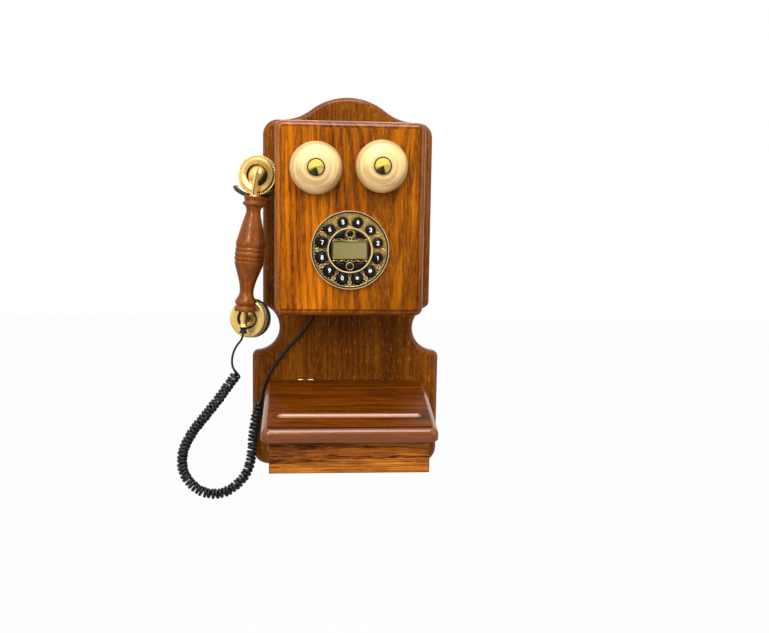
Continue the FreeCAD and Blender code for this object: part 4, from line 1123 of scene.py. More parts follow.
FINISHES: dict[str, Finish] = {finish.name: finish for finish in (
    Wood("board oak", pith=(0.05, 0.03, 0.0), lean=0.02, spacing=0.0042, waviness=0.6,
         light=(0.3, 0.088, 0.002), middle=(0.2, 0.052, 0.001), dark=(0.04, 0.008, 0.001),
         edge=(0.17, 0.04, 0.008), fibre=0.55, pore=0.85, flecks=0.9, fleck=(0.5, 0.2, 0.04),
         edge_coat=0.4),
    # The panel's painted shade darkens it towards the right and the top; a painted dark line runs
    # in its crease.
    Wood("panel oak", pith=(0.035, -0.026, -0.06), lean=0.075, spacing=0.0066, waviness=0.5,
         light=(0.66, 0.185, 0.002), middle=(0.43, 0.104, 0.001), dark=(0.06, 0.01, 0.001),
         edge=(0.2, 0.045, 0.006), line=1.0, stripe=0.7, stripe_scale=0.55, fibre=0.45,
         flecks=0.2, fleck=(0.85, 0.4, 0.1), painted_shade_span=(-0.085, 0.01), painted_shade_way=(1.0, 0.0, 0.2),
         painted_shade_tint=(0.5, 0.56, 0.9), edge_coat=0.6, crease_shade=0.5),
    # The shelf's edge colour is near black: painted shade along its rounded edges.
    Wood("shelf oak", grain=Grain.SIDEWAYS, pith=(0.3, 0.1, 0.0), lean=0.05, spacing=0.0066,
         waviness=1.6, light=(0.62, 0.2, 0.022), middle=(0.42, 0.115, 0.012),
         dark=(0.035, 0.009, 0.002), edge=(0.05, 0.013, 0.003), line=0.75, stripe=1.0,
         stripe_scale=0.75, fibre=0.8, pore=0.9, edge_coat=0.3),
    Wood("shelf side oak", grain=Grain.FORWARD, pith=(0.3, 0.1, 0.0), lean=0.05,
         spacing=0.0066, light=(0.36, 0.1, 0.008), middle=(0.25, 0.062, 0.004),
         dark=(0.04, 0.01, 0.002), line=0.5, stripe=0.6, pore=0.7, edge_share=0.0,
         edge_coat=0.15),
    Wood("box oak", grain=Grain.SIDEWAYS, pith=(0.1, 0.2, 0.1), light=(0.26, 0.07, 0.003),
         middle=(0.17, 0.042, 0.002), dark=(0.045, 0.009, 0.001), line=0.5, pore=0.75,
         edge_share=0.0, edge_coat=0.15),
    # A painted dark line runs in the crease round the lid's field, and the groove takes a painted
    # highlight.
    LidWood("lid oak", grain=Grain.SIDEWAYS, face=LID_FACE, pith=(0.3, 0.06, 0.0), lean=0.04,
            spacing=0.0045, waviness=0.8, light=(0.22, 0.052, 0.001),
            middle=(0.1, 0.019, 0.001), dark=(0.025, 0.005, 0.001),
            edge=(0.25, 0.065, 0.01), line=0.6, stripe=0.75, stripe_scale=1.1, fibre=0.7,
            pore=0.8, gloss=0.03, edge_coat=1.0, coat_rough=0.2, crease_shade=0.8),
    # Painted shade darkens the handle towards its right side.
    Wood("handle oak", grain=Grain.HANDLE, face=(0.0, 0.0, 0.0), pith=(-0.13, -0.06, -0.1),
         lean=0.05, spacing=0.0045, light=(0.3, 0.075, 0.003), middle=(0.19, 0.042, 0.002),
         dark=(0.04, 0.008, 0.001), line=0.5, rough=0.2, coat=0.3, coat_rough=0.08,
         edge_coat=0.0, painted_shade_span=(-0.1, -0.09), painted_shade_way=(1.0, 0.0, -HANDLE_LEAN),
         edge_share=0.0),
    # Painted shade on the bells' faces that look right and down.
    SpunBrass("bell brass", metal=(0.84, 0.58, 0.25), tarnish=(0.42, 0.26, 0.09), rough=0.42,
              metallic=0.2, shade_facing=(0.86, -0.1, -0.5), shade_facing_range=(0.45, 0.95), shade_facing_amount=0.6,
              shadow=(0.25, 0.14, 0.04)),
    # Painted shade: a dark wedge on the cones' faces that look down and a little left.
    Brass("cone brass", metal=(0.95, 0.74, 0.14), rough=0.14, tarnished=0.12, specks=0.06,
          metallic=0.8, shade_facing=(-0.35, 0.0, -0.94), shade_facing_range=(0.42, 0.6), shade_facing_amount=0.94,
          shadow=(0.05, 0.038, 0.004)),
    Brass("pale brass", metal=(0.95, 0.85, 0.6), rough=0.3, metallic=0.5),
    # Painted shade also lies over the cups' right side, by x.
    Brass("cup brass", tarnish=(0.34, 0.2, 0.055), rough=0.24, metallic=0.75,
          shade_facing_range=(0.1, 0.55), shadow=(0.03, 0.016, 0.004), shaded_side=(-0.106, -0.084),
          shaded_side_amount=0.7, **CUP_BRASS),
    Brass("ear brass", tarnish=(0.2, 0.11, 0.026), rough=0.26, metallic=0.8,
          shade_facing_range=(0.2, 0.6), shadow=(0.04, 0.022, 0.006), shaded_side=(-0.108, -0.087),
          shaded_side_amount=0.85, **CUP_BRASS),
    Brass("blade brass", metal=(0.92, 0.64, 0.22), tarnish=(0.45, 0.26, 0.07), rough=0.24,
          tarnished=0.3, specks=0.0, metallic=0.7, bump_height=0.000004),
    DialBrass("dial brass", metal=(0.78, 0.46, 0.1), tarnish=(0.01, 0.006, 0.003), rough=0.3,
              tarnished=0.7, specks=0.7, clouds=130.0, metallic=0.92),
    # Painted shade on the scrolls' faces that look down.
    Brass("filigree brass", metal=(0.96, 0.68, 0.27), tarnish=(0.05, 0.028, 0.01), rough=0.28,
          tarnished=0.6, specks=0.3, clouds=110.0, metallic=0.85, shade_facing=(0.35, 0.0, -0.93),
          shade_facing_range=(0.0, 0.55), shade_facing_amount=0.95, shadow=(0.012, 0.007, 0.003)),
    # Painted shade on the frame's faces that look down.
    Brass("bezel brass", metal=(0.5, 0.34, 0.13), tarnish=(0.03, 0.018, 0.008), rough=0.3,
          tarnished=0.7, specks=0.4, shade_facing_amount=1.0),
    Moulded("brass shadow", (0.02, 0.012, 0.005), rough=0.5),
    # Painted shade: the right hinge is darkened, by x, so that it catches no glint.
    Brass("hinge brass", metal=(0.6, 0.5, 0.36), tarnish=(0.1, 0.05, 0.02), rough=0.35,
          shaded_side_amount=0.95),
    Brass("bronze", metal=(0.13, 0.105, 0.05), tarnish=(0.03, 0.024, 0.012), rough=0.3,
          tarnished=0.5, specks=0.4, clouds=120.0),
    Brass("zinc steel", metal=(0.55, 0.55, 0.56), tarnish=(0.25, 0.24, 0.22), rough=0.32),
    Brass("coil copper", metal=(0.6, 0.26, 0.1), tarnish=(0.2, 0.07, 0.03), rough=0.35),
    Moulded("satin aluminium", (0.75, 0.75, 0.76), metallic=1.0),
    Moulded("black plastic", (0.012, 0.012, 0.012), rough=0.3, coat=0.2),
    Moulded("key black", (0.004, 0.0035, 0.0035), rough=0.16, marks=0.06, coat=0.1,
            texture=0.00001, gloss=0.12),
    Moulded("key lettering", (0.82, 0.82, 0.8), rough=0.45),
    Display("display"),
    Moulded("circuit green", (0.03, 0.2, 0.06), rough=0.35),
    Moulded("black rubber", (0.008, 0.008, 0.009), rough=0.5, marks=0.15),
    Moulded("cord black", (0.006, 0.006, 0.0065), rough=0.3, marks=0.12, coat=0.1),
)}

MATERIALS: dict[str, bpy.types.Material] = {}


def finish(name: str) -> bpy.types.Material:
    """The material of a named finish, built the first time that it is asked for.

    Args:
        name: the finish's name.

    Returns:
        Its material.
    """
    if name not in MATERIALS:
        MATERIALS[name] = FINISHES[name].material()
    return MATERIALS[name]


def dress(item: bpy.types.Object, *names: str) -> bpy.types.Object:
    """Give a piece its finishes, in the order of its paints.

    Args:
        item: the piece.
        *names: the finishes' names.

    Returns:
        The piece.
    """
    if item.data.materials:  # clearing an empty list would wipe the paints
        item.data.materials.clear()
    for name in names:
        item.data.materials.append(finish(name))
    return item


def fit(item: bpy.types.Object, body: str, slot: str, *stands_for: str) -> bpy.types.Object:
    """Let a piece ride on a body and stand for nodes of the frame.

    Args:
        item: the piece.
        body: the body that it rides on.
        slot: not used.
        *stands_for: nodes that it replaces.

    Returns:
        The piece.
    """
    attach(item, body)
    if stands_for:
        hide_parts(*stands_for)
    log.info("%s rides on %s", item.name, body)
    return item


# ---------------------------------------------------------------- cord


@dataclass
class CurlyCord:
    """The handset's cord: straight out of the box, curled, and straight up to the handset."""

    wire: float = 1.95 * MM
    lower_wire: float = 1.8 * MM
    upper_wire: float = 1.25 * MM
    diameter: float = 3.6 * MM
    curl_radius: float = 4.3 * MM
    pitch: float = 4.75 * MM
    opening: float = 0.4
    # Share of the radius, radians per turn and start of each slow sine.
    sway: Rows = ((0.045, 2.1, 0.0), (0.03, 5.3, 1.0))
    lag: float = 0.35 * MM
    lag_pace: float = 3.7
    steps_per_turn: int = 22
    lower_step: float = 1.6 * MM
    upper_step: float = 1.2 * MM
    sides: int = 9
    eased: int = 10
    steep: float = 0.93
    handset_end: Rows = ((0.0, 0.0, -31.1), (0.0, 0.0, -25.1))
    lower: Rows = (
        (-0.038, -0.028, -0.177), (-0.0393, -0.0266, -0.1846), (-0.0456, -0.0236, -0.196),
        (-0.0546, -0.0208, -0.2076), (-0.0644, -0.0193, -0.2184), (-0.075, -0.0188, -0.2298),
        (-0.0856, -0.0189, -0.2442), (-0.0936, -0.0195, -0.258), (-0.0986, -0.021, -0.2706),
        (-0.101, -0.0236, -0.2818), (-0.1026, -0.0255, -0.2895))
    curled: Rows = (
        (-0.1026, -0.0255, -0.2895), (-0.1082, -0.028, -0.3074), (-0.1103, -0.0305, -0.3263),
        (-0.1116, -0.0325, -0.3466), (-0.1148, -0.035, -0.3669), (-0.1254, -0.0375, -0.3833),
        (-0.1414, -0.0405, -0.3945), (-0.1595, -0.0435, -0.3966), (-0.1774, -0.0465, -0.3876),
        (-0.1893, -0.0495, -0.3714), (-0.1926, -0.0525, -0.3514), (-0.1869, -0.056, -0.3302),
        (-0.1743, -0.06, -0.31), (-0.1575, -0.064, -0.2892), (-0.1405, -0.0675, -0.266),
        (-0.1264, -0.07, -0.2454))
    upper: Rows = (
        (-0.1264, -0.07, -0.2454), (-0.1304, -0.071, -0.2402), (-0.132, -0.0725, -0.2322),
        (-0.1304, -0.075, -0.2214), (-0.126, -0.077, -0.212))

    def line(self, points: Rows) -> Array:
        """Points along the smooth spline that the route's points control.

        Args:
            points: the route's points.

        Returns:
            The points that the spline's own mesh has.
        """
        curve = bpy.data.curves.new("route", "CURVE")
        curve.dimensions = "3D"
        spline = curve.splines.new("NURBS")
        spline.points.add(len(points) - 1)
        for knot, point in zip(spline.points, points):
            knot.co = (*point, 1.0)
        spline.order_u = 3
        spline.use_endpoint_u = True
        spline.resolution_u = 24
        holder = bpy.data.objects.new("route", curve)
        bpy.context.scene.collection.objects.link(holder)
        bpy.context.view_layer.update()
        mesh = bpy.data.meshes.new_from_object(holder)
        read = np.empty(len(mesh.vertices) * 3)
        mesh.vertices.foreach_get("co", read)
        bpy.data.objects.remove(holder)
        bpy.data.meshes.remove(mesh)
        return read.reshape(-1, 3)

    def spaced(self, path: Array, step: float) -> Array:
        """The same line with its points evenly spaced, about one step apart.

        Args:
            path: points of the line.
            step: the wanted distance between points.

        Returns:
            The evenly spaced points, with the same two ends.
        """
        reach = gone(path)
        count = max(8, int(round(reach[-1] / step)))
        even = np.linspace(0.0, reach[-1], count + 1)
        return np.stack([np.interp(even, reach, path[:, axis]) for axis in range(3)], -1)

    def helix(self, fine: Array) -> Array:
        """The curled wire's middle line.

        It circles the path at the curl radius, once for each pitch of the path's length.
        The curl opens over the first part of a turn and closes over the last, and each turn
        is a little larger or smaller than the next, and leads or lags, by slow sines.

        Args:
            fine: the path, with as many points in a pitch as a turn has steps.

        Returns:
            The wire's middle line, with as many points.
        """
        first, second = frames_along(fine, (0.0, 1.0, 0.0))
        turns = np.arange(len(fine)) / self.steps_per_turn
        opened = np.clip(np.minimum(turns, turns[-1] - turns) / self.opening, 0.0, 1.0)
        opened = opened * opened * (3 - 2 * opened)
        loose = 1.0 + sum(size * np.sin(turns * pace + start) for size, pace, start in self.sway)
        radius = (self.curl_radius * opened * loose)[:, None]
        angle = (math.tau * turns)[:, None]
        lag = (self.lag * opened * np.sin(turns * self.lag_pace))[:, None]
        return (fine + first * radius * np.cos(angle) + second * radius * np.sin(angle)
                + tangents(fine) * lag)

    def tube(self, name: str, path: Array, wire: Array) -> bpy.types.Object:
        """A round wire along a line, with its length along the second place of its map.

        Args:
            name: the piece's name.
            path: points of its middle line.
            wire: its radius at each of them.

        Returns:
            The piece.
        """
        steep = np.abs(tangents(path)[:, 1:2]) > self.steep
        hint = np.where(steep, [[1.0, 0.0, 0.0]], [[0.0, 1.0, 0.0]])
        side = np.linspace(0.0, 1.0, self.sides, endpoint=False)
        uv = np.stack(np.broadcast_arrays(side[None, :], gone(path)[:, None]), -1)
        uv = np.concatenate([uv[:1], uv, uv[-1:]])
        shell = Shell(name).add(tapered(path, wire, self.sides, hint), uv=uv)
        return dress(shell.build(sharp=80.0), "cord black")

    def wires(self, first: int, last: int, start: float, end: float) -> Array:
        """The wire's radius at each point: one value, then the other, eased between them."""
        share = np.clip((np.arange(first + last) - first) / self.eased + 0.5, 0.0, 1.0)
        return start + (end - start) * share

    def build(self) -> None:
        """Two pieces that meet at the bottom of the loop: one hangs still on the case, the other
        is left where it is built.
        """
        end = HANDSET.out(mm(self.handset_end))
        lower = self.spaced(self.line(self.lower), self.lower_step)
        upper = self.spaced(self.line([*self.upper, *map(tuple, end)]), self.upper_step)
        fine = self.spaced(self.line(self.curled), self.pitch / self.steps_per_turn)
        curled = self.helix(fine)
        lowest = int(np.argmin(fine[:, 2]))
        still = np.concatenate([lower[:-1], curled[:lowest + 1]])
        moving = np.concatenate([curled[lowest:], upper[1:]])
        hanging = self.tube("cord_from_box", still, self.wires(
            len(lower) - 1, lowest + 1, self.lower_wire, self.wire))
        fit(hanging, "case", "black_cord", "cord_lower", "cord_coil")
        reaching = self.tube("cord_to_handset", moving, self.wires(
            len(curled) - lowest, len(upper) - 1, self.wire, self.upper_wire))
        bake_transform(reaching)
        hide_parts("cord_coil", "cord_upper")


# ---------------------------------------------------------------- keys and dial


ARC_STEPS, RUN_STEPS = 22, 7


def arc(x: float, z: float, wide: float, tall: float, start: float, end: float) -> Array:
    """Part of an ellipse between two angles in degrees: x + wide cos a, z + tall sin a."""
    turn = np.radians(np.linspace(start, end, ARC_STEPS))
    return np.stack([x + wide * np.cos(turn), z + tall * np.sin(turn)], -1)


def runs(*corners: Span) -> list[Array]:
    """Each straight run between neighbouring corners, as its own stroke."""
    share = np.linspace(0.0, 1.0, RUN_STEPS)[:, None]
    return [np.array(first) * (1 - share) + np.array(last) * share
            for first, last in zip(corners, corners[1:])]


SIX = [arc(0.0, -0.2, 0.27, 0.3, 0, 360), arc(0.2, -0.15, 0.46, 0.65, 178, 97)]

STROKES: dict[str, list[Array]] = {
    "0": [arc(0.0, 0.0, 0.28, 0.5, 0, 360)],
    "1": runs((-0.16, 0.3), (0.05, 0.5), (0.05, -0.5)),
    "2": [arc(0.0, 0.22, 0.27, 0.28, 165, -38), *runs((0.21, 0.05), (-0.28, -0.5), (0.3, -0.5))],
    "3": [arc(-0.02, 0.25, 0.25, 0.25, 150, -90), arc(-0.02, -0.24, 0.29, 0.26, 90, -150)],
    "4": runs((0.12, -0.5), (0.12, 0.5), (-0.3, -0.18), (0.32, -0.18)),
    "5": [*runs((0.24, 0.5), (-0.2, 0.5), (-0.24, 0.04)),
          arc(-0.01, -0.18, 0.28, 0.32, 135, -145)],
    "6": SIX,
    "7": runs((-0.28, 0.5), (0.28, 0.5), (-0.08, -0.5)),
    "8": [arc(0.0, 0.25, 0.23, 0.25, 0, 360), arc(0.0, -0.25, 0.28, 0.25, 0, 360)],
    "9": [-stroke for stroke in SIX],
    "star": [*runs((0.0, 0.4), (0.0, -0.4)), *runs((-0.35, 0.2), (0.35, -0.2)),
             *runs((-0.35, -0.2), (0.35, 0.2))],
    "hash": [*runs((-0.12, 0.42), (-0.18, -0.42)), *runs((0.18, 0.42), (0.12, -0.42)),
             *runs((-0.36, 0.16), (0.36, 0.16)), *runs((-0.36, -0.16), (0.36, -0.16))],
}
PAST_END = np.array([1.0, 0.9, 0.6, 0.3])
RIBBON_ACROSS = np.array([-1.0, -1.0, -0.75, 0.75, 1.0, 1.0])
RIBBON_RISE = np.array([-1.2, 0.4, 1.0, 1.0, 0.4, -1.2])


def ribbon(stroke: Array, half: float, surface: Callable[[Array, Array], Array],
           proud: float = 0.1 * MM) -> Array:
    """A flat stroke with round ends, laid on a surface.

    Past both ends of the line the half width follows a half circle. Each cross section
    rises from under the surface to a little above it, at y = surface(x, z) - rise.

    Args:
        stroke: points by two of the stroke's middle line.
        half: half the stroke's width.
        surface: gives the surface's y from x and z.
        proud: how far the stroke stands above the surface.

    Returns:
        A grid of stroke points by six.
    """
    before = stroke[0] + unit(stroke[0] - stroke[1]) * half * PAST_END[:, None]
    after = stroke[-1] + unit(stroke[-1] - stroke[-2]) * half * PAST_END[::-1, None]
    path = np.concatenate([before, stroke, after])
    share = np.sqrt(1.0 - PAST_END ** 2)
    wide = half * np.concatenate([share, np.ones(len(stroke)), share[::-1]])
    way = tangents(path)
    flat = path[:, None] + (np.stack([-way[:, 1], way[:, 0]], -1)[:, None]
                            * (wide[:, None] * RIBBON_ACROSS)[..., None])
    return stood(flat, surface(flat[..., 0], flat[..., 1]) - RIBBON_RISE * proud)


@dataclass
class Keypad:
    """Twelve domed keys on a circle, two small round ones and four wedges."""

    round_reach: float = 32.0 * MM
    first_angle: float = 105.0
    figure: float = 4.1 * MM
    half_stroke: float = 0.43 * MM
    crown: float = 6.2 * MM
    crown_bend: float = 33.0
    small_reach: float = 18.0 * MM
    wedge_outer: float = 22.2 * MM
    wedge_side: float = 6.0 * MM
    wedge_level: float = 14.1 * MM
    order: Sequence[str] = ("5", "6", "7", "8", "9", "0", "star", "hash", "1", "2", "3", "4")
    cap: Rows = (
        (0.0, -6.2), (1.5, -6.12), (2.9, -5.92), (4.0, -5.66), (4.35, -5.2), (4.65, -5.25),
        (4.95, -5.5), (5.35, -5.35), (5.75, -4.85), (6.0, -4.0), (6.0, -0.4), (0.0, -0.4))
    small_cap: Rows = (
        (0.0, -4.4), (1.2, -4.34), (2.2, -4.12), (2.9, -3.75), (3.35, -3.2), (3.5, -2.6),
        (3.5, -0.4), (0.0, -0.4))
    wedge_levels: Rows = (
        (0.0, -0.4), (1.0, -0.4), (1.0, -3.3), (0.98, -3.8), (0.92, -4.15), (0.78, -4.33),
        (0.4, -4.42), (0.0, -4.44))

    def dome(self, x: Array, z: Array) -> Array:
        """The middle of a cap's crown: it falls off with the square of the distance."""
        return self.crown_bend * (x * x + z * z) - self.crown

    def round_keys(self) -> None:
        """Caps on the circle, each with its figure, anticlockwise from left of the top."""
        profile = softened(mm(self.cap))
        for index, label in enumerate(self.order):
            turn = math.radians(self.first_angle + 360.0 / len(self.order) * index)
            at = DIAL.at(self.round_reach * math.cos(turn), 0.0, self.round_reach * math.sin(turn))
            shell = Shell("cap_" + label).turned(profile, at, 56)
            for stroke in STROKES[label]:
                shell.add(at.out(ribbon(stroke * self.figure, self.half_stroke, self.dome)), 1)
            self.place(shell, "key_" + label, "key black", "key lettering")

    def small_keys(self) -> None:
        """Round keys above and below the display."""
        for name, side in zip(("menu", "enter"), BOTH_SIDES):
            at = DIAL.at(0.0, 0.0, self.small_reach * side)
            shell = Shell("cap_" + name).turned(softened(mm(self.small_cap)), at, 40)
            self.place(shell, "key_" + name, "key black")

    def wedge_loop(self) -> Array:
        """Outline between the circle, an upright line and a level line, corners rounded.

        Returns:
            The upper right wedge's outline, across and up from the dial's centre.
        """
        low = math.asin(self.wedge_level / self.wedge_outer)
        high = math.acos(self.wedge_side / self.wedge_outer)
        turn = np.linspace(low, high, 14)
        bow = np.stack([np.cos(turn), np.sin(turn)], -1) * self.wedge_outer
        corner = np.array([[self.wedge_side, self.wedge_level]])
        share = np.linspace(0.0, 1.0, 6)[1:-1, None]
        return softened(np.concatenate([corner, corner * (1 - share) + bow[:1] * share, bow,
                                        bow[-1:] * (1 - share) + corner * share]), closed=True)

    def wedge_keys(self) -> None:
        """Four wedge keys with cushion tops."""
        for name, sides in (("up_right", (1, 1)), ("up_left", (-1, 1)),
                            ("down_left", (-1, -1)), ("down_right", (1, -1))):
            block = pillow(self.wedge_loop() * sides, self.wedge_levels, DIAL)
            self.place(Shell("cap_" + name).add(block), "key_" + name, "key black")

    def place(self, shell: Shell, key: str, *finishes: str) -> None:
        """Build a cap, dress it and let it ride on its key's body."""
        shell.settle(key, "key_black", finishes, key, sharp=50.0)

    def build(self) -> None:
        """Build every key."""
        self.round_keys()
        self.small_keys()
        self.wedge_keys()


@dataclass
class DialOrnament:
    """Raised scrolls, beads and rings on the dial plate, and the display in its frame."""

    face: float = -2.6 * MM
    wire: float = 0.5 * MM
    gaps: int = 12
    scrolls: Sequence[Rows] = (
        ((38.7, 0.6), (39.6, 1.6), (39.9, 3.2), (39.5, 4.9), (38.3, 5.3), (37.7, 4.5),
         (38.2, 3.8)),
        ((35.7, 0.3), (34.4, 1.3), (32.9, 1.0), (31.6, 0.3), (30.2, 0.6), (28.9, 1.6),
         (27.7, 1.7), (27.2, 0.9), (27.9, 0.5)),
        ((36.6, 1.7), (35.6, 2.4), (34.6, 2.2)),
    )
    rosettes: Rows = ((37.2, 1.7), (31.6, 0.85))
    beads: Rows = ((37.2, 0.0, 0.7), (39.5, 6.9, 0.45), (39.3, 8.3, 0.6), (34.0, 0.0, 0.5),
                   (29.4, 0.0, 0.42), (26.9, 0.0, 0.5))
    rings: Rows = ((18.0, 4.1, 0.5), (-18.0, 4.1, 0.5), (0.0, 40.9, 0.4), (0.0, 26.0, 0.35))
    leaf: Rows = ((-3.6, 0.0), (-2.4, 0.7), (-1.0, 0.9), (0.6, 0.2), (2.0, -0.6), (3.4, -0.5),
                  (4.0, 0.2), (3.4, 0.7))
    leaf_level: float = 11.9
    leaf_reaches: Span = (5.2, 13.6)
    leaf_wire: float = 0.42 * MM
    drop: Triple = (1.1 * MM, 0.55 * MM, 0.75 * MM)
    drop_level: float = 12.0
    drop_reaches: Sequence[float] = (-9.4, -1.6, 1.6, 9.4, -18.2, 18.2)
    frame: Rows = ((20.3, -2.5), (20.3, -2.8), (20.1, -3.0), (19.7, -3.05), (19.4, -3.0),
                   (18.75, -1.9), (18.75, -1.5), (19.6, -1.5))
    frame_wider: float = 9.75
    glass: Triple = (18.95 * MM, 9.2 * MM, 0.4 * MM)
    glass_levels: Rows = ((0.0, -1.2), (1.0, -1.2), (1.0, -1.85), (0.995, -1.9), (0.0, -1.92))

    def spread(self, grid: Array) -> Array:
        """A grid laid at nought degrees, turned into every gap between two keys.

        x = u cos a - v sin a and z = u sin a + v cos a, for reach u and side step v.

        Args:
            grid: the grid at nought degrees, to the right of the dial's centre.

        Returns:
            One grid for each gap.
        """
        cos, sin = circle(self.gaps).T[..., None, None]
        u, y, v = (grid[None, ..., axis] for axis in range(3))
        return DIAL.out(stood(np.stack([u * cos - v * sin, u * sin + v * cos], -1), y))

    def filigree(self) -> None:
        """Scrolls, rosettes and beads round the keys, half sunk in the plate."""
        shell = Shell("dial_filigree")
        for scroll in self.scrolls:
            for side in BOTH_SIDES:
                flat = softened(mm(scroll) * (1.0, side))
                radii = self.wire * np.linspace(1.15, 0.7, len(flat))
                shell.add(self.spread(tapered(stood(flat, self.face), radii)))
        for reach, size in mm(self.rosettes):
            hoop = circle(8, self.wire) + (size, 0.0)
            shell.add(self.spread(lathe(hoop, Basis((reach, self.face, 0.0)), 20)),
                      form=Form.RING)
        for reach, step, size in mm(self.beads):
            bead = ball((size, size * 0.8, size))
            for side in (BOTH_SIDES if step else BOTH_SIDES[:1]):
                shell.add(self.spread(bead + (reach, self.face, step * side)))
        self.inner_work(shell)
        shell.settle("case", "antique_brass", ["filigree brass"], sharp=60.0)

    def inner_work(self, shell: Shell) -> None:
        """Rings round the small keys and inside the rim, and strips by the display.

        Args:
            shell: the piece that these are added to.
        """
        for level, radius, wire in mm(self.rings):
            shell.turned(circle(10, wire) + (radius, 0.0), DIAL.at(0.0, self.face, level), 144,
                         form=Form.RING)
        strip = tapered(stood(softened(mm(self.leaf)), 0.0), self.leaf_wire)
        drop = ball(self.drop, 6, 12)
        for upper in (-1.0, 1.0):
            for side in (-1.0, 1.0):
                for reach in self.leaf_reaches:
                    place = mm((reach * side, self.face / MM, self.leaf_level * upper))
                    shell.add(DIAL.out(strip * (side, 1.0, upper) + place))
        for level in (-self.drop_level, self.drop_level):
            for reach in self.drop_reaches:
                shell.add(DIAL.out(drop + mm((reach, self.face / MM, level))))

    def display(self) -> None:
        """A bevelled frame and a glass that lies below it."""
        loops = [rectangle(half * MM, (half - self.frame_wider) * MM, 0.5 * MM)
                 for half, _ in self.frame]
        along = mm(self.frame)[:, 1:]
        border = Shell("display_frame").add(DIAL.out(stood(np.stack(loops), along)),
                                            form=Form.RING)
        border.settle("case", "antique_brass", ["bezel brass"], sharp=35.0)
        pane = Shell("display_glass").add(pillow(rectangle(*self.glass), self.glass_levels, DIAL))
        pane.settle("case", "window", ["display"], "lcd_window", sharp=30.0)

    def build(self) -> None:
        """Build the ornament and the display."""
        self.filigree()
        self.display()


# ---------------------------------------------------------------- handset and cradle


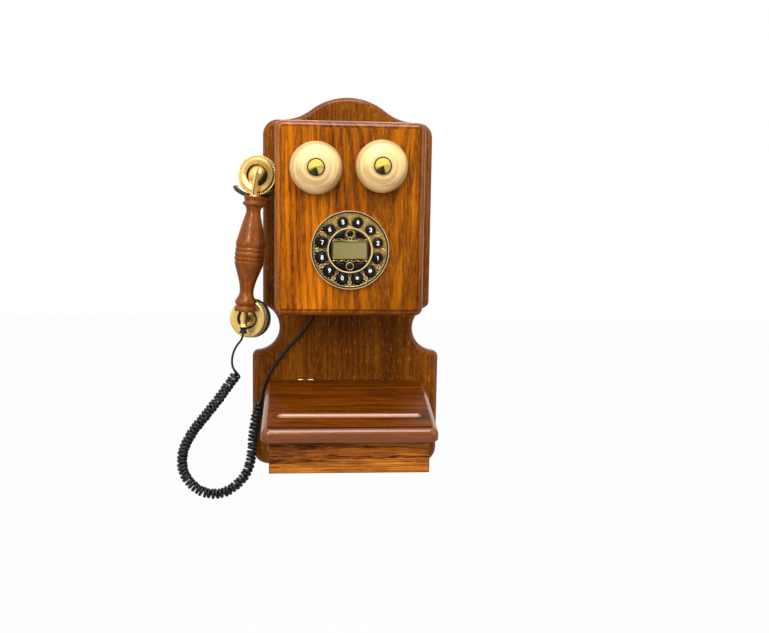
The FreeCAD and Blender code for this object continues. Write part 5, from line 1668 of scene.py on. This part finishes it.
@dataclass
class HandsetBrass:
    """Brass cups, their caps, the neck blade, the lower sleeve and the cord's boot.

    The profiles are rows of radius and place along the axis, in millimetres.
    """

    ear: Basis = HANDSET.at(-3.4 * MM, 10.0 * MM, 153.0 * MM)
    mouth: Basis = HANDSET.at(-1.5 * MM, 13.2 * MM, -9.2 * MM)
    segments: int = 112
    ear_front: Rows = (
        (0.0, -6.2), (3.0, -5.9), (5.8, -4.9), (8.2, -3.0), (9.8, -0.8), (10.7, 1.4),
        (11.0, 3.2), (11.4, 3.9), (11.9, 3.5), (12.1, 1.0), (12.5, -0.1), (14.0, -0.6),
        (16.2, -1.1), (18.2, -1.2), (19.4, -0.7), (20.0, 0.2), (20.0, 1.0))
    ear_back: Rows = ((19.8, 9.4), (19.8, 10.0), (19.8, 11.0), (19.0, 11.0), (19.0, 4.9),
                      (12.4, 4.8), (10.0, 4.4), (5.0, -1.6), (0.0, -2.4))
    # A dark hairline in the shadow finish, from the hub towards the rim.
    dark_hairline_run: Span = (10.9, 19.5)
    dark_hairline_way: Span = (0.05, 1.0)
    dark_hairline_half: float = 0.13 * MM
    dark_hairline_proud: float = 0.03 * MM
    ear_belt: Rows = ((19.5, 0.7), (21.4, 0.8), (21.4, 2.2), (20.0, 3.0), (20.0, 9.4),
                      (19.5, 9.4))
    ear_cap: Rows = (
        (0.0, 14.4), (5.0, 14.4), (10.0, 15.0), (16.0, 16.6), (18.8, 17.5), (20.4, 17.4),
        (21.6, 16.7), (21.8, 15.8), (21.8, 13.2), (21.4, 12.4), (20.3, 11.6), (19.8, 11.2),
        (18.6, 11.2), (18.6, 13.4), (0.0, 12.4))
    mouth_front: Rows = (
        (0.0, 1.0), (6.0, 1.0), (9.6, 1.2), (11.2, 1.3), (11.5, 0.2), (11.9, -1.0), (12.4, -1.2),
        (12.8, -0.6), (15.0, -0.8), (17.8, -0.9), (20.2, -0.8), (21.1, -0.2), (21.3, 0.4))
    mouth_back: Rows = (
        (21.3, 0.9), (20.4, 1.2), (20.4, 3.4), (21.0, 3.7), (21.0, 4.5), (20.4, 4.8), (20.4, 8.6),
        (20.3, 10.4), (19.6, 10.4), (19.6, 3.2), (13.7, 2.8), (0.0, 2.6))
    mouth_bands: Rows = ((2.3, 1.1), (6.7, 1.9))
    mouth_beads: Span = (2.3, 6.6)
    hole_ring: float = 4.2 * MM
    hole_depth: float = 0.12
    # Painted shade: a dark ring in the cup's sunk middle, in the shadow finish.
    mouth_well: Rows = ((9.4, 0.9), (10.9, 0.95), (11.3, 0.3), (11.7, -0.7), (11.85, -0.6),
                        (11.6, 0.6), (11.2, 1.3), (9.4, 1.3))
    mouth_stem: Rows = ((0.0, -9.6), (4.2, -9.6), (4.2, 0.6), (0.0, 0.6))
    mouth_cap: Rows = (
        (0.0, 12.8), (6.0, 13.0), (11.0, 13.8), (16.0, 15.8), (19.0, 17.0), (21.2, 17.0),
        (22.6, 16.0), (22.9, 14.4), (22.6, 12.4), (21.8, 10.6), (18.6, 10.5), (18.6, 12.2),
        (0.0, 11.8))
    sleeve_half: float = 4.7 * MM
    # Place along the handle, share of the half width, and how round the section is there.
    sleeve: Rows = (
        (0.4, 1.0, 0.0), (-0.2, 1.0, 0.0), (-3.0, 1.0, 0.0), (-12.0, 1.0, 0.0),
        (-15.6, 1.0, 0.0), (-15.9, 0.95, 0.4), (-16.1, 1.2, 1.0), (-16.5, 1.26, 1.0),
        (-17.6, 1.26, 1.0), (-17.9, 1.16, 1.0))
    collar: Rows = ((0.0, 128.0), (5.6, 128.0), (5.8, 128.9), (5.4, 129.7), (4.6, 130.1),
                    (0.0, 130.1))
    blade_from: float = 128.9
    blade_long: float = 34.0
    blade: Rows = ((-1.0, 0.2), (-0.2, -0.5), (0.2, -0.85), (0.42, -0.8), (1.0, 0.1),
                   (0.8, 0.8), (-0.8, 0.9))
    # Painted shade: a dark strip along the blade's ridge, in the shadow finish.
    ridge_shade: Rows = ((0.18, -0.95), (0.42, -0.9), (0.42, -0.6), (0.18, -0.6))
    boot_profile: Rows = (
        (0.0, -17.6), (3.6, -17.6), (4.3, -18.2), (4.4, -19.2), (3.6, -20.0), (3.1, -21.0),
        (3.2, -22.0), (4.1, -23.0), (4.5, -23.9), (4.1, -24.7), (2.2, -25.1), (0.0, -25.1))

    def beads(self, basis: Basis, reach: float, along: float, size: float, count: int) -> Array:
        """Small balls on a circle round a cup, one grid for each."""
        centre = stood(circle(count, reach), along)
        return basis.out(ball((size, size, size))[None] + centre[:, None, None])

    def holes(self, basis: Basis, along: float, size: float) -> Array:
        """Dark round sound holes: one in the middle and six round it, as flat eggs.

        Args:
            basis: the cup's basis.
            along: millimetres along its axis.
            size: millimetres from a hole's middle to its edge.

        Returns:
            One grid for each hole.
        """
        centre = stood(np.concatenate([[[0.0, 0.0]], circle(6, self.hole_ring)]), along * MM)
        egg = ball(mm((size, self.hole_depth, size)), 5, 14)
        return basis.out(egg[None] + centre[:, None, None])

    def dark_hairline(self, profile: Array) -> Array:
        """A hairline from the ear cup's hub to its rim, laid on the cup's own profile.

        Args:
            profile: rows of radius and place along the axis, from the middle to the rim.

        Returns:
            The hairline's grid.
        """
        line = np.linspace(*self.dark_hairline_run, 30)[:, None] * mm(self.dark_hairline_way)
        return self.ear.out(ribbon(
            line, self.dark_hairline_half,
            lambda x, z: np.interp(np.hypot(x, z), *profile.T), self.dark_hairline_proud))

    def earpiece(self) -> None:
        """Cup with a hub, a groove round it, a swelling band and a beaded rim, and the cap behind
        it.
        """
        front = softened(mm(self.ear_front))
        shell = Shell("earpiece_cup")
        shell.turned(np.concatenate([front, mm(self.ear_back)]), self.ear, self.segments)
        shell.add(self.beads(self.ear, 21.5 * MM, 0.9 * MM, 1.3 * MM, 54), 2)
        shell.turned(mm(self.ear_belt), self.ear, self.segments, form=Form.RING)
        shell.add(self.dark_hairline(front[:int(np.argmax(front[:, 0]))]), 1)
        shell.settle("handset", "polished_brass", ("ear brass", "brass shadow", "blade brass"),
                     "ear_cup")
        lid = Shell("earpiece_cap")
        lid.turned(softened(mm(self.ear_cap), 1), self.ear, self.segments)
        lid.add(self.holes(self.ear, 14.45, 0.9), 1)
        lid.settle("handset", "polished_brass", ("ear brass", "black plastic"), "ear_cap")

    def sleeve_grid(self) -> Array:
        """The sleeve below the handle: a soft-cornered square bar that ends in a round lip.

        The section goes from the square to the circle by a share, at each place along.

        Returns:
            A closed grid of places along by section points.
        """
        level, size, roundness = np.array(self.sleeve).T[..., None, None]
        bar = softened(np.array([[0.0, -1.0], [1.0, 0.0], [0.0, 1.0], [-1.0, 0.0]]),
                       closed=True) * 1.06
        section = (bar * (1 - roundness) + unit(bar) * roundness) * size * self.sleeve_half
        tall = np.broadcast_to(level * MM, section.shape[:2] + (1,))
        return HANDSET.out(capped(np.concatenate([section, tall], -1)))

    def mouthpiece(self) -> None:
        """Cup with a sunk middle and two beaded bands, its sleeve, and the black cap; the bands
        and a ring in the well are painted shade.
        """
        profile = [softened(mm(self.mouth_front)), softened(mm(self.mouth_back), 1)]
        shell = Shell("mouthpiece_cup")
        shell.turned(np.concatenate(profile), self.mouth, self.segments)
        for along in self.mouth_beads:
            shell.add(self.beads(self.mouth, 21.3 * MM, along * MM, 0.8 * MM, 56), 2)
        # the bands and the well's ring take the shadow finish: painted shade
        for along, wide in self.mouth_bands:
            belt = ((20.2, along - wide), (20.7, along - wide * 0.9),
                    (20.7, along + wide * 0.9), (20.2, along + wide))
            shell.turned(mm(belt), self.mouth, self.segments, 1, Form.RING)
        shell.turned(mm(self.mouth_well), self.mouth, self.segments, 1, Form.RING)
        shell.add(self.sleeve_grid())
        shell.turned(mm(self.mouth_stem), self.mouth, 32)
        shell.settle("handset", "polished_brass", ("cup brass", "brass shadow", "blade brass"),
                     "mouth_cup")
        lid = Shell("mouthpiece_cap")
        lid.turned(softened(mm(self.mouth_cap)), self.mouth, self.segments)
        lid.add(self.holes(self.mouth, 12.85, 1.0), 1)
        lid.settle("handset", "black_plastic", ("black plastic", "brass shadow"), "mouth_cap")

    def neck(self) -> None:
        """A tapering blade from the handle to the hub.

        Its section is a ridge between a wide left face and a narrow right one, with a strip of
        painted shade along the ridge, and its half width falls along the blade as one less a power
        of the share gone.
        """
        share = np.linspace(0.0, 1.0, 32)[:, None]
        reach = (self.blade_from + share * self.blade_long) * MM
        wide = (0.25 + 3.65 * (1.0 - share ** 2.2)) * MM
        side = (-1.1 - 1.6 * share) * MM + 0.7 * (3.9 * MM - wide)
        deep = (-0.6 + 5.6 * share ** 1.6) * MM
        shell = Shell("neck_blade")
        for paint, flat in enumerate((self.blade, self.ridge_shade)):
            x, y = np.array(flat).T
            wall = [x * wide + side, y * wide + deep, np.broadcast_to(reach, (32, len(flat)))]
            shell.add(HANDSET.out(capped(np.stack(wall, -1))), paint)
        shell.turned(softened(mm(self.collar), 1), HANDLE, 40)
        shell.settle("handset", "polished_brass", ("blade brass", "brass shadow"),
                     "upper_neck", sharp=24.0)

    def boot(self) -> None:
        """Black boot where the cord leaves the sleeve: a collar, a waist and a flared foot."""
        shell = Shell("cord_boot").turned(softened(mm(self.boot_profile)), HANDLE, 40)
        shell.settle("handset", "black_rubber", ["black rubber"], "strain_relief")

    def build(self) -> None:
        """Build every brass piece of the handset."""
        self.earpiece()
        self.mouthpiece()
        self.neck()
        self.boot()


@dataclass
class Cradle:
    """The bronze crescent under the ear cup, on the lever that works the hook switch."""

    centre: Span = (-104.6 * MM, -9.75 * MM)
    front: float = -57.0 * MM
    depth: float = 8.0 * MM
    inner: float = 32.8 * MM
    thick: float = 3.5 * MM
    start: float = 228.5
    end: float = 318.0
    twist: float = 2.1 * MM
    rope_wire: float = 1.55 * MM
    rope_swell: float = 0.24
    bright_wire: float = 0.45 * MM
    knob: Triple = (3.3 * MM, 3.8 * MM, 2.4 * MM)
    knob_at: Triple = (-127.8 * MM, -54.2 * MM, -35.2 * MM)
    lever: Rows = ((-78.6, -53.0, -34.0), (-18.0, -53.0, -34.0))
    boss: Rows = ((0.0, -2.5), (4.6, -2.5), (5.2, -2.0), (5.2, 2.0), (4.6, 2.5), (0.0, 2.5))
    boss_at: Triple = (-38.0 * MM, -53.0 * MM, -34.0 * MM)

    def bow(self, radius: float, depth: float, steps: int = 90) -> Array:
        """Points on a circle about the crescent's centre, at one depth."""
        turn = np.radians(np.linspace(self.start, self.end, steps))
        return stood(np.stack([np.cos(turn), np.sin(turn)], -1) * radius + self.centre, depth)

    def rope(self) -> Array:
        """A twisted edge.

        The tube's radius swells with the cosine of twice the angle round it less the length
        gone over the twist's pitch.

        Returns:
            A closed grid of places along by points round.
        """
        path = self.bow(self.inner + self.thick, self.front + 0.9 * MM, 420)
        turn = np.linspace(0.0, math.tau, 14, endpoint=False)
        length = np.radians(np.linspace(self.start, self.end, 420)) * (self.inner + self.thick)
        lay = turn[None] * 2.0 - math.tau * length[:, None] / self.twist
        swell = self.rope_wire * (1.0 + self.rope_swell * np.cos(lay))
        return swept(path, circle(14)[None] * swell[..., None])

    def build(self) -> None:
        """Crescent, twisted edge, bright inner line, knob, and the lever with its boss."""
        shell = Shell("cradle_crescent")
        path = self.bow(self.inner + self.thick / 2, self.front + self.depth / 2)
        shell.add(swept(path, rectangle(self.thick / 2, self.depth / 2, 0.7 * MM)))
        shell.add(self.rope())
        line = self.bow(self.inner + 0.1 * MM, self.front - 0.1 * MM)
        shell.add(tapered(line, self.bright_wire, 8), 1)
        shell.add(ball(self.knob, 14, 24) + self.knob_at)
        lever = np.linspace(*mm(self.lever), 12)
        shell.add(swept(lever, rectangle(2.0 * MM, 4.0 * MM, 0.8 * MM), (0.0, 0.0, 1.0)))
        shell.turned(mm(self.boss), Basis(self.boss_at), 32)
        shell.settle("cradle", "bronze", ("bronze", "pale brass"), "cradle_lever")


# ---------------------------------------------------------------- carried-over nodes


DRESSED: dict[str, str] = {
    "board oak": "backboard box_sides",
    "panel oak": "front_panel",
    "box oak": "box_top box_bottom",
    "shelf oak": "shelf_front shelf_floor",
    "shelf side oak": "shelf_sides",
    "lid oak": "lid",
    "handle oak": "handset_handle",
    "bell brass": "bells",
    "cone brass": "cone_nuts",
    "dial brass": "dial_plate",
    "cup brass": "upper_neck mouth_cup",
    "ear brass": "ear_cup ear_cap",
    "hinge brass": "hinge_board_leaves hinge_lid_leaves",
    "bronze": "cradle_lever",
    "zinc steel": "bell_posts ringer_frame ringer_armature hanger_plates wood_screws "
                  "lever_bracket",
    "coil copper": "ringer_coils",
    "satin aluminium": "receiver_capsule microphone_capsule",
    "black plastic": "bell_washers lcd_module line_jack hook_switch mouth_cap",
    "black rubber": "cord_gland strain_relief",
    "display": "lcd_window",
    "circuit green": "key_circuit_board main_circuit_board",
    "cord black": "cord_lower cord_coil cord_upper",
}
NODE_FINISHES = {node: name for name, nodes in DRESSED.items() for node in nodes.split()}


def dress_nodes() -> None:
    """Give every node of the frame its finish; those that aren't in the table are keys."""
    for name, item in NODES.items():
        dress(item, NODE_FINISHES.get(name, "key black"))


# ---------------------------------------------------------------- light, floor and camera


@dataclass
class Studio:
    """A pale floor, soft lamps, a pale surrounding and the camera."""

    floor_level: float = -1.2
    floor_half: float = 8.0
    paper: Colour = (0.82, 0.82, 0.82)
    paper_seen: float = 0.97
    paper_dimmed: float = 0.4
    eye: Triple = (-0.0464, -1.08931, -0.05184)
    yaw: float = math.radians(4.91)
    pitch: float = math.radians(7.09)
    roll: float = math.radians(0.94)
    lens: float = 42.15
    sensor: float = 36.0
    dim_side: Triple = (0.5, -0.75, -0.43)
    dim_range: Span = (0.0, 0.8)
    dimmed: float = 0.85
    level: float = 0.5
    aim: Triple = (0.0, -0.05, -0.15)
    # Name, place, side and power of each lamp.
    lamps: Sequence[tuple[str, Triple, float, float]] = (
        ("key lamp", (-0.8, -1.9, 1.1), 1.4, 25.0),
        ("side lamp", (1.8, -1.3, 0.5), 1.4, 12.0),
        ("top lamp", (0.0, -1.0, 1.35), 0.9, 24.0),
        ("spark lamp", (-0.55, -1.4, 0.75), 0.16, 2.5),
        ("back lamp", (0.3, 1.8, 1.2), 1.4, 14.0))

    def camera(self) -> None:
        """A camera that looks along yaw and pitch, rolled a little."""
        right = Vector((math.cos(self.yaw), -math.sin(self.yaw), 0.0))
        ahead = Vector((math.sin(self.yaw) * math.cos(self.pitch),
                        math.cos(self.yaw) * math.cos(self.pitch), -math.sin(self.pitch)))
        up = right.cross(ahead)
        across = right * math.cos(self.roll) + up * math.sin(self.roll)
        above = up * math.cos(self.roll) - right * math.sin(self.roll)
        data = bpy.data.cameras.new("camera")
        data.lens, data.sensor_width = self.lens, self.sensor
        item = bpy.data.objects.new("camera", data)
        item.matrix_world = Matrix.Translation(self.eye) @ Matrix(
            (across, above, -ahead)).transposed().to_4x4()
        bpy.context.scene.collection.objects.link(item)
        bpy.context.scene.camera = item

    def lamp(self, name: str, at: Triple, size: float, power: float) -> None:
        """A square soft lamp that faces the telephone.

        Args:
            name: the lamp's name.
            at: where it is.
            size: length of its side.
            power: its watts.
        """
        data = bpy.data.lights.new(name, "AREA")
        data.shape, data.size, data.energy = "SQUARE", size, power
        item = bpy.data.objects.new(name, data)
        way = Vector(self.aim) - Vector(at)
        item.matrix_world = (Matrix.Translation(at)
                             @ way.to_track_quat("-Z", "Y").to_matrix().to_4x4())
        bpy.context.scene.collection.objects.link(item)

    def seen_white(self, graph: Graph) -> Value:
        """1 where the camera, a mirror or a glass looks straight at the surroundings.

        Args:
            graph: the graph of the floor's material or the world.

        Returns:
            The mask.
        """
        camera, mirror, glass = (graph.out("LightPath", output=f"Is {kind} Ray")
                                 for kind in ("Camera", "Glossy", "Transmission"))
        return camera.most(mirror).most(glass)

    def world(self) -> None:
        """White where it is seen, and a plain level of light on everything else.

        A mirror sees it less bright towards the dim side, behind the camera and to the right.
        """
        world = bpy.data.worlds.new("surroundings")
        graph = cleared(world)
        mirrored = graph.out("LightPath", output="Is Glossy Ray")
        facing = graph.place("Generated").dot(self.dim_side)
        dim = facing.span(*self.dim_range, 0.0, self.dimmed) * mirrored
        seen = (self.seen_white(graph) - dim) * (1.0 - self.level)
        strength = seen + (1.0 - dim) * self.level
        sky = graph.node("Background", {"Color": (1.0, 1.0, 1.0), "Strength": strength})
        graph.node("OutputWorld", {0: sky.outputs[0]})
        bpy.context.scene.world = world

    def floor(self) -> None:
        """A pale floor under the hung telephone, less bright where a mirror sees it."""
        corner = np.array([-self.floor_half, self.floor_half])
        x, y = np.meshgrid(corner, corner, indexing="ij")
        points = np.stack([x, y, np.full_like(x, self.floor_level)], -1)
        item = Shell("floor").add(points, form=Form.SHEET).build(outward=False)
        paper = bpy.data.materials.new("floor paper")
        graph = cleared(paper)
        matt = graph.out("BsdfDiffuse", {"Color": self.paper})
        mirrored = graph.out("LightPath", output="Is Glossy Ray")
        strength = 1.0 - mirrored * self.paper_dimmed
        glow = graph.out("Emission", {"Color": (1.0, 1.0, 1.0), "Strength": strength})
        seen = self.seen_white(graph) * self.paper_seen
        mixed = graph.out("MixShader", {0: seen, 1: matt, 2: glow})
        graph.node("OutputMaterial", {0: mixed})
        item.data.materials.append(paper)

    def build(self) -> None:
        """Set the scene round the telephone."""
        bpy.context.scene.view_settings.view_transform = "Standard"
        self.world()
        self.floor()
        for lamp in self.lamps:
            self.lamp(*lamp)
        self.camera()


def main() -> None:
    """Build everything in order."""
    logging.basicConfig(level=logging.INFO, format="%(name)s: %(message)s")
    Studio().build()
    dress_nodes()
    CurlyCord().build()
    Keypad().build()
    DialOrnament().build()
    HandsetBrass().build()
    Cradle().build()


if __name__ == "__main__":
    main()
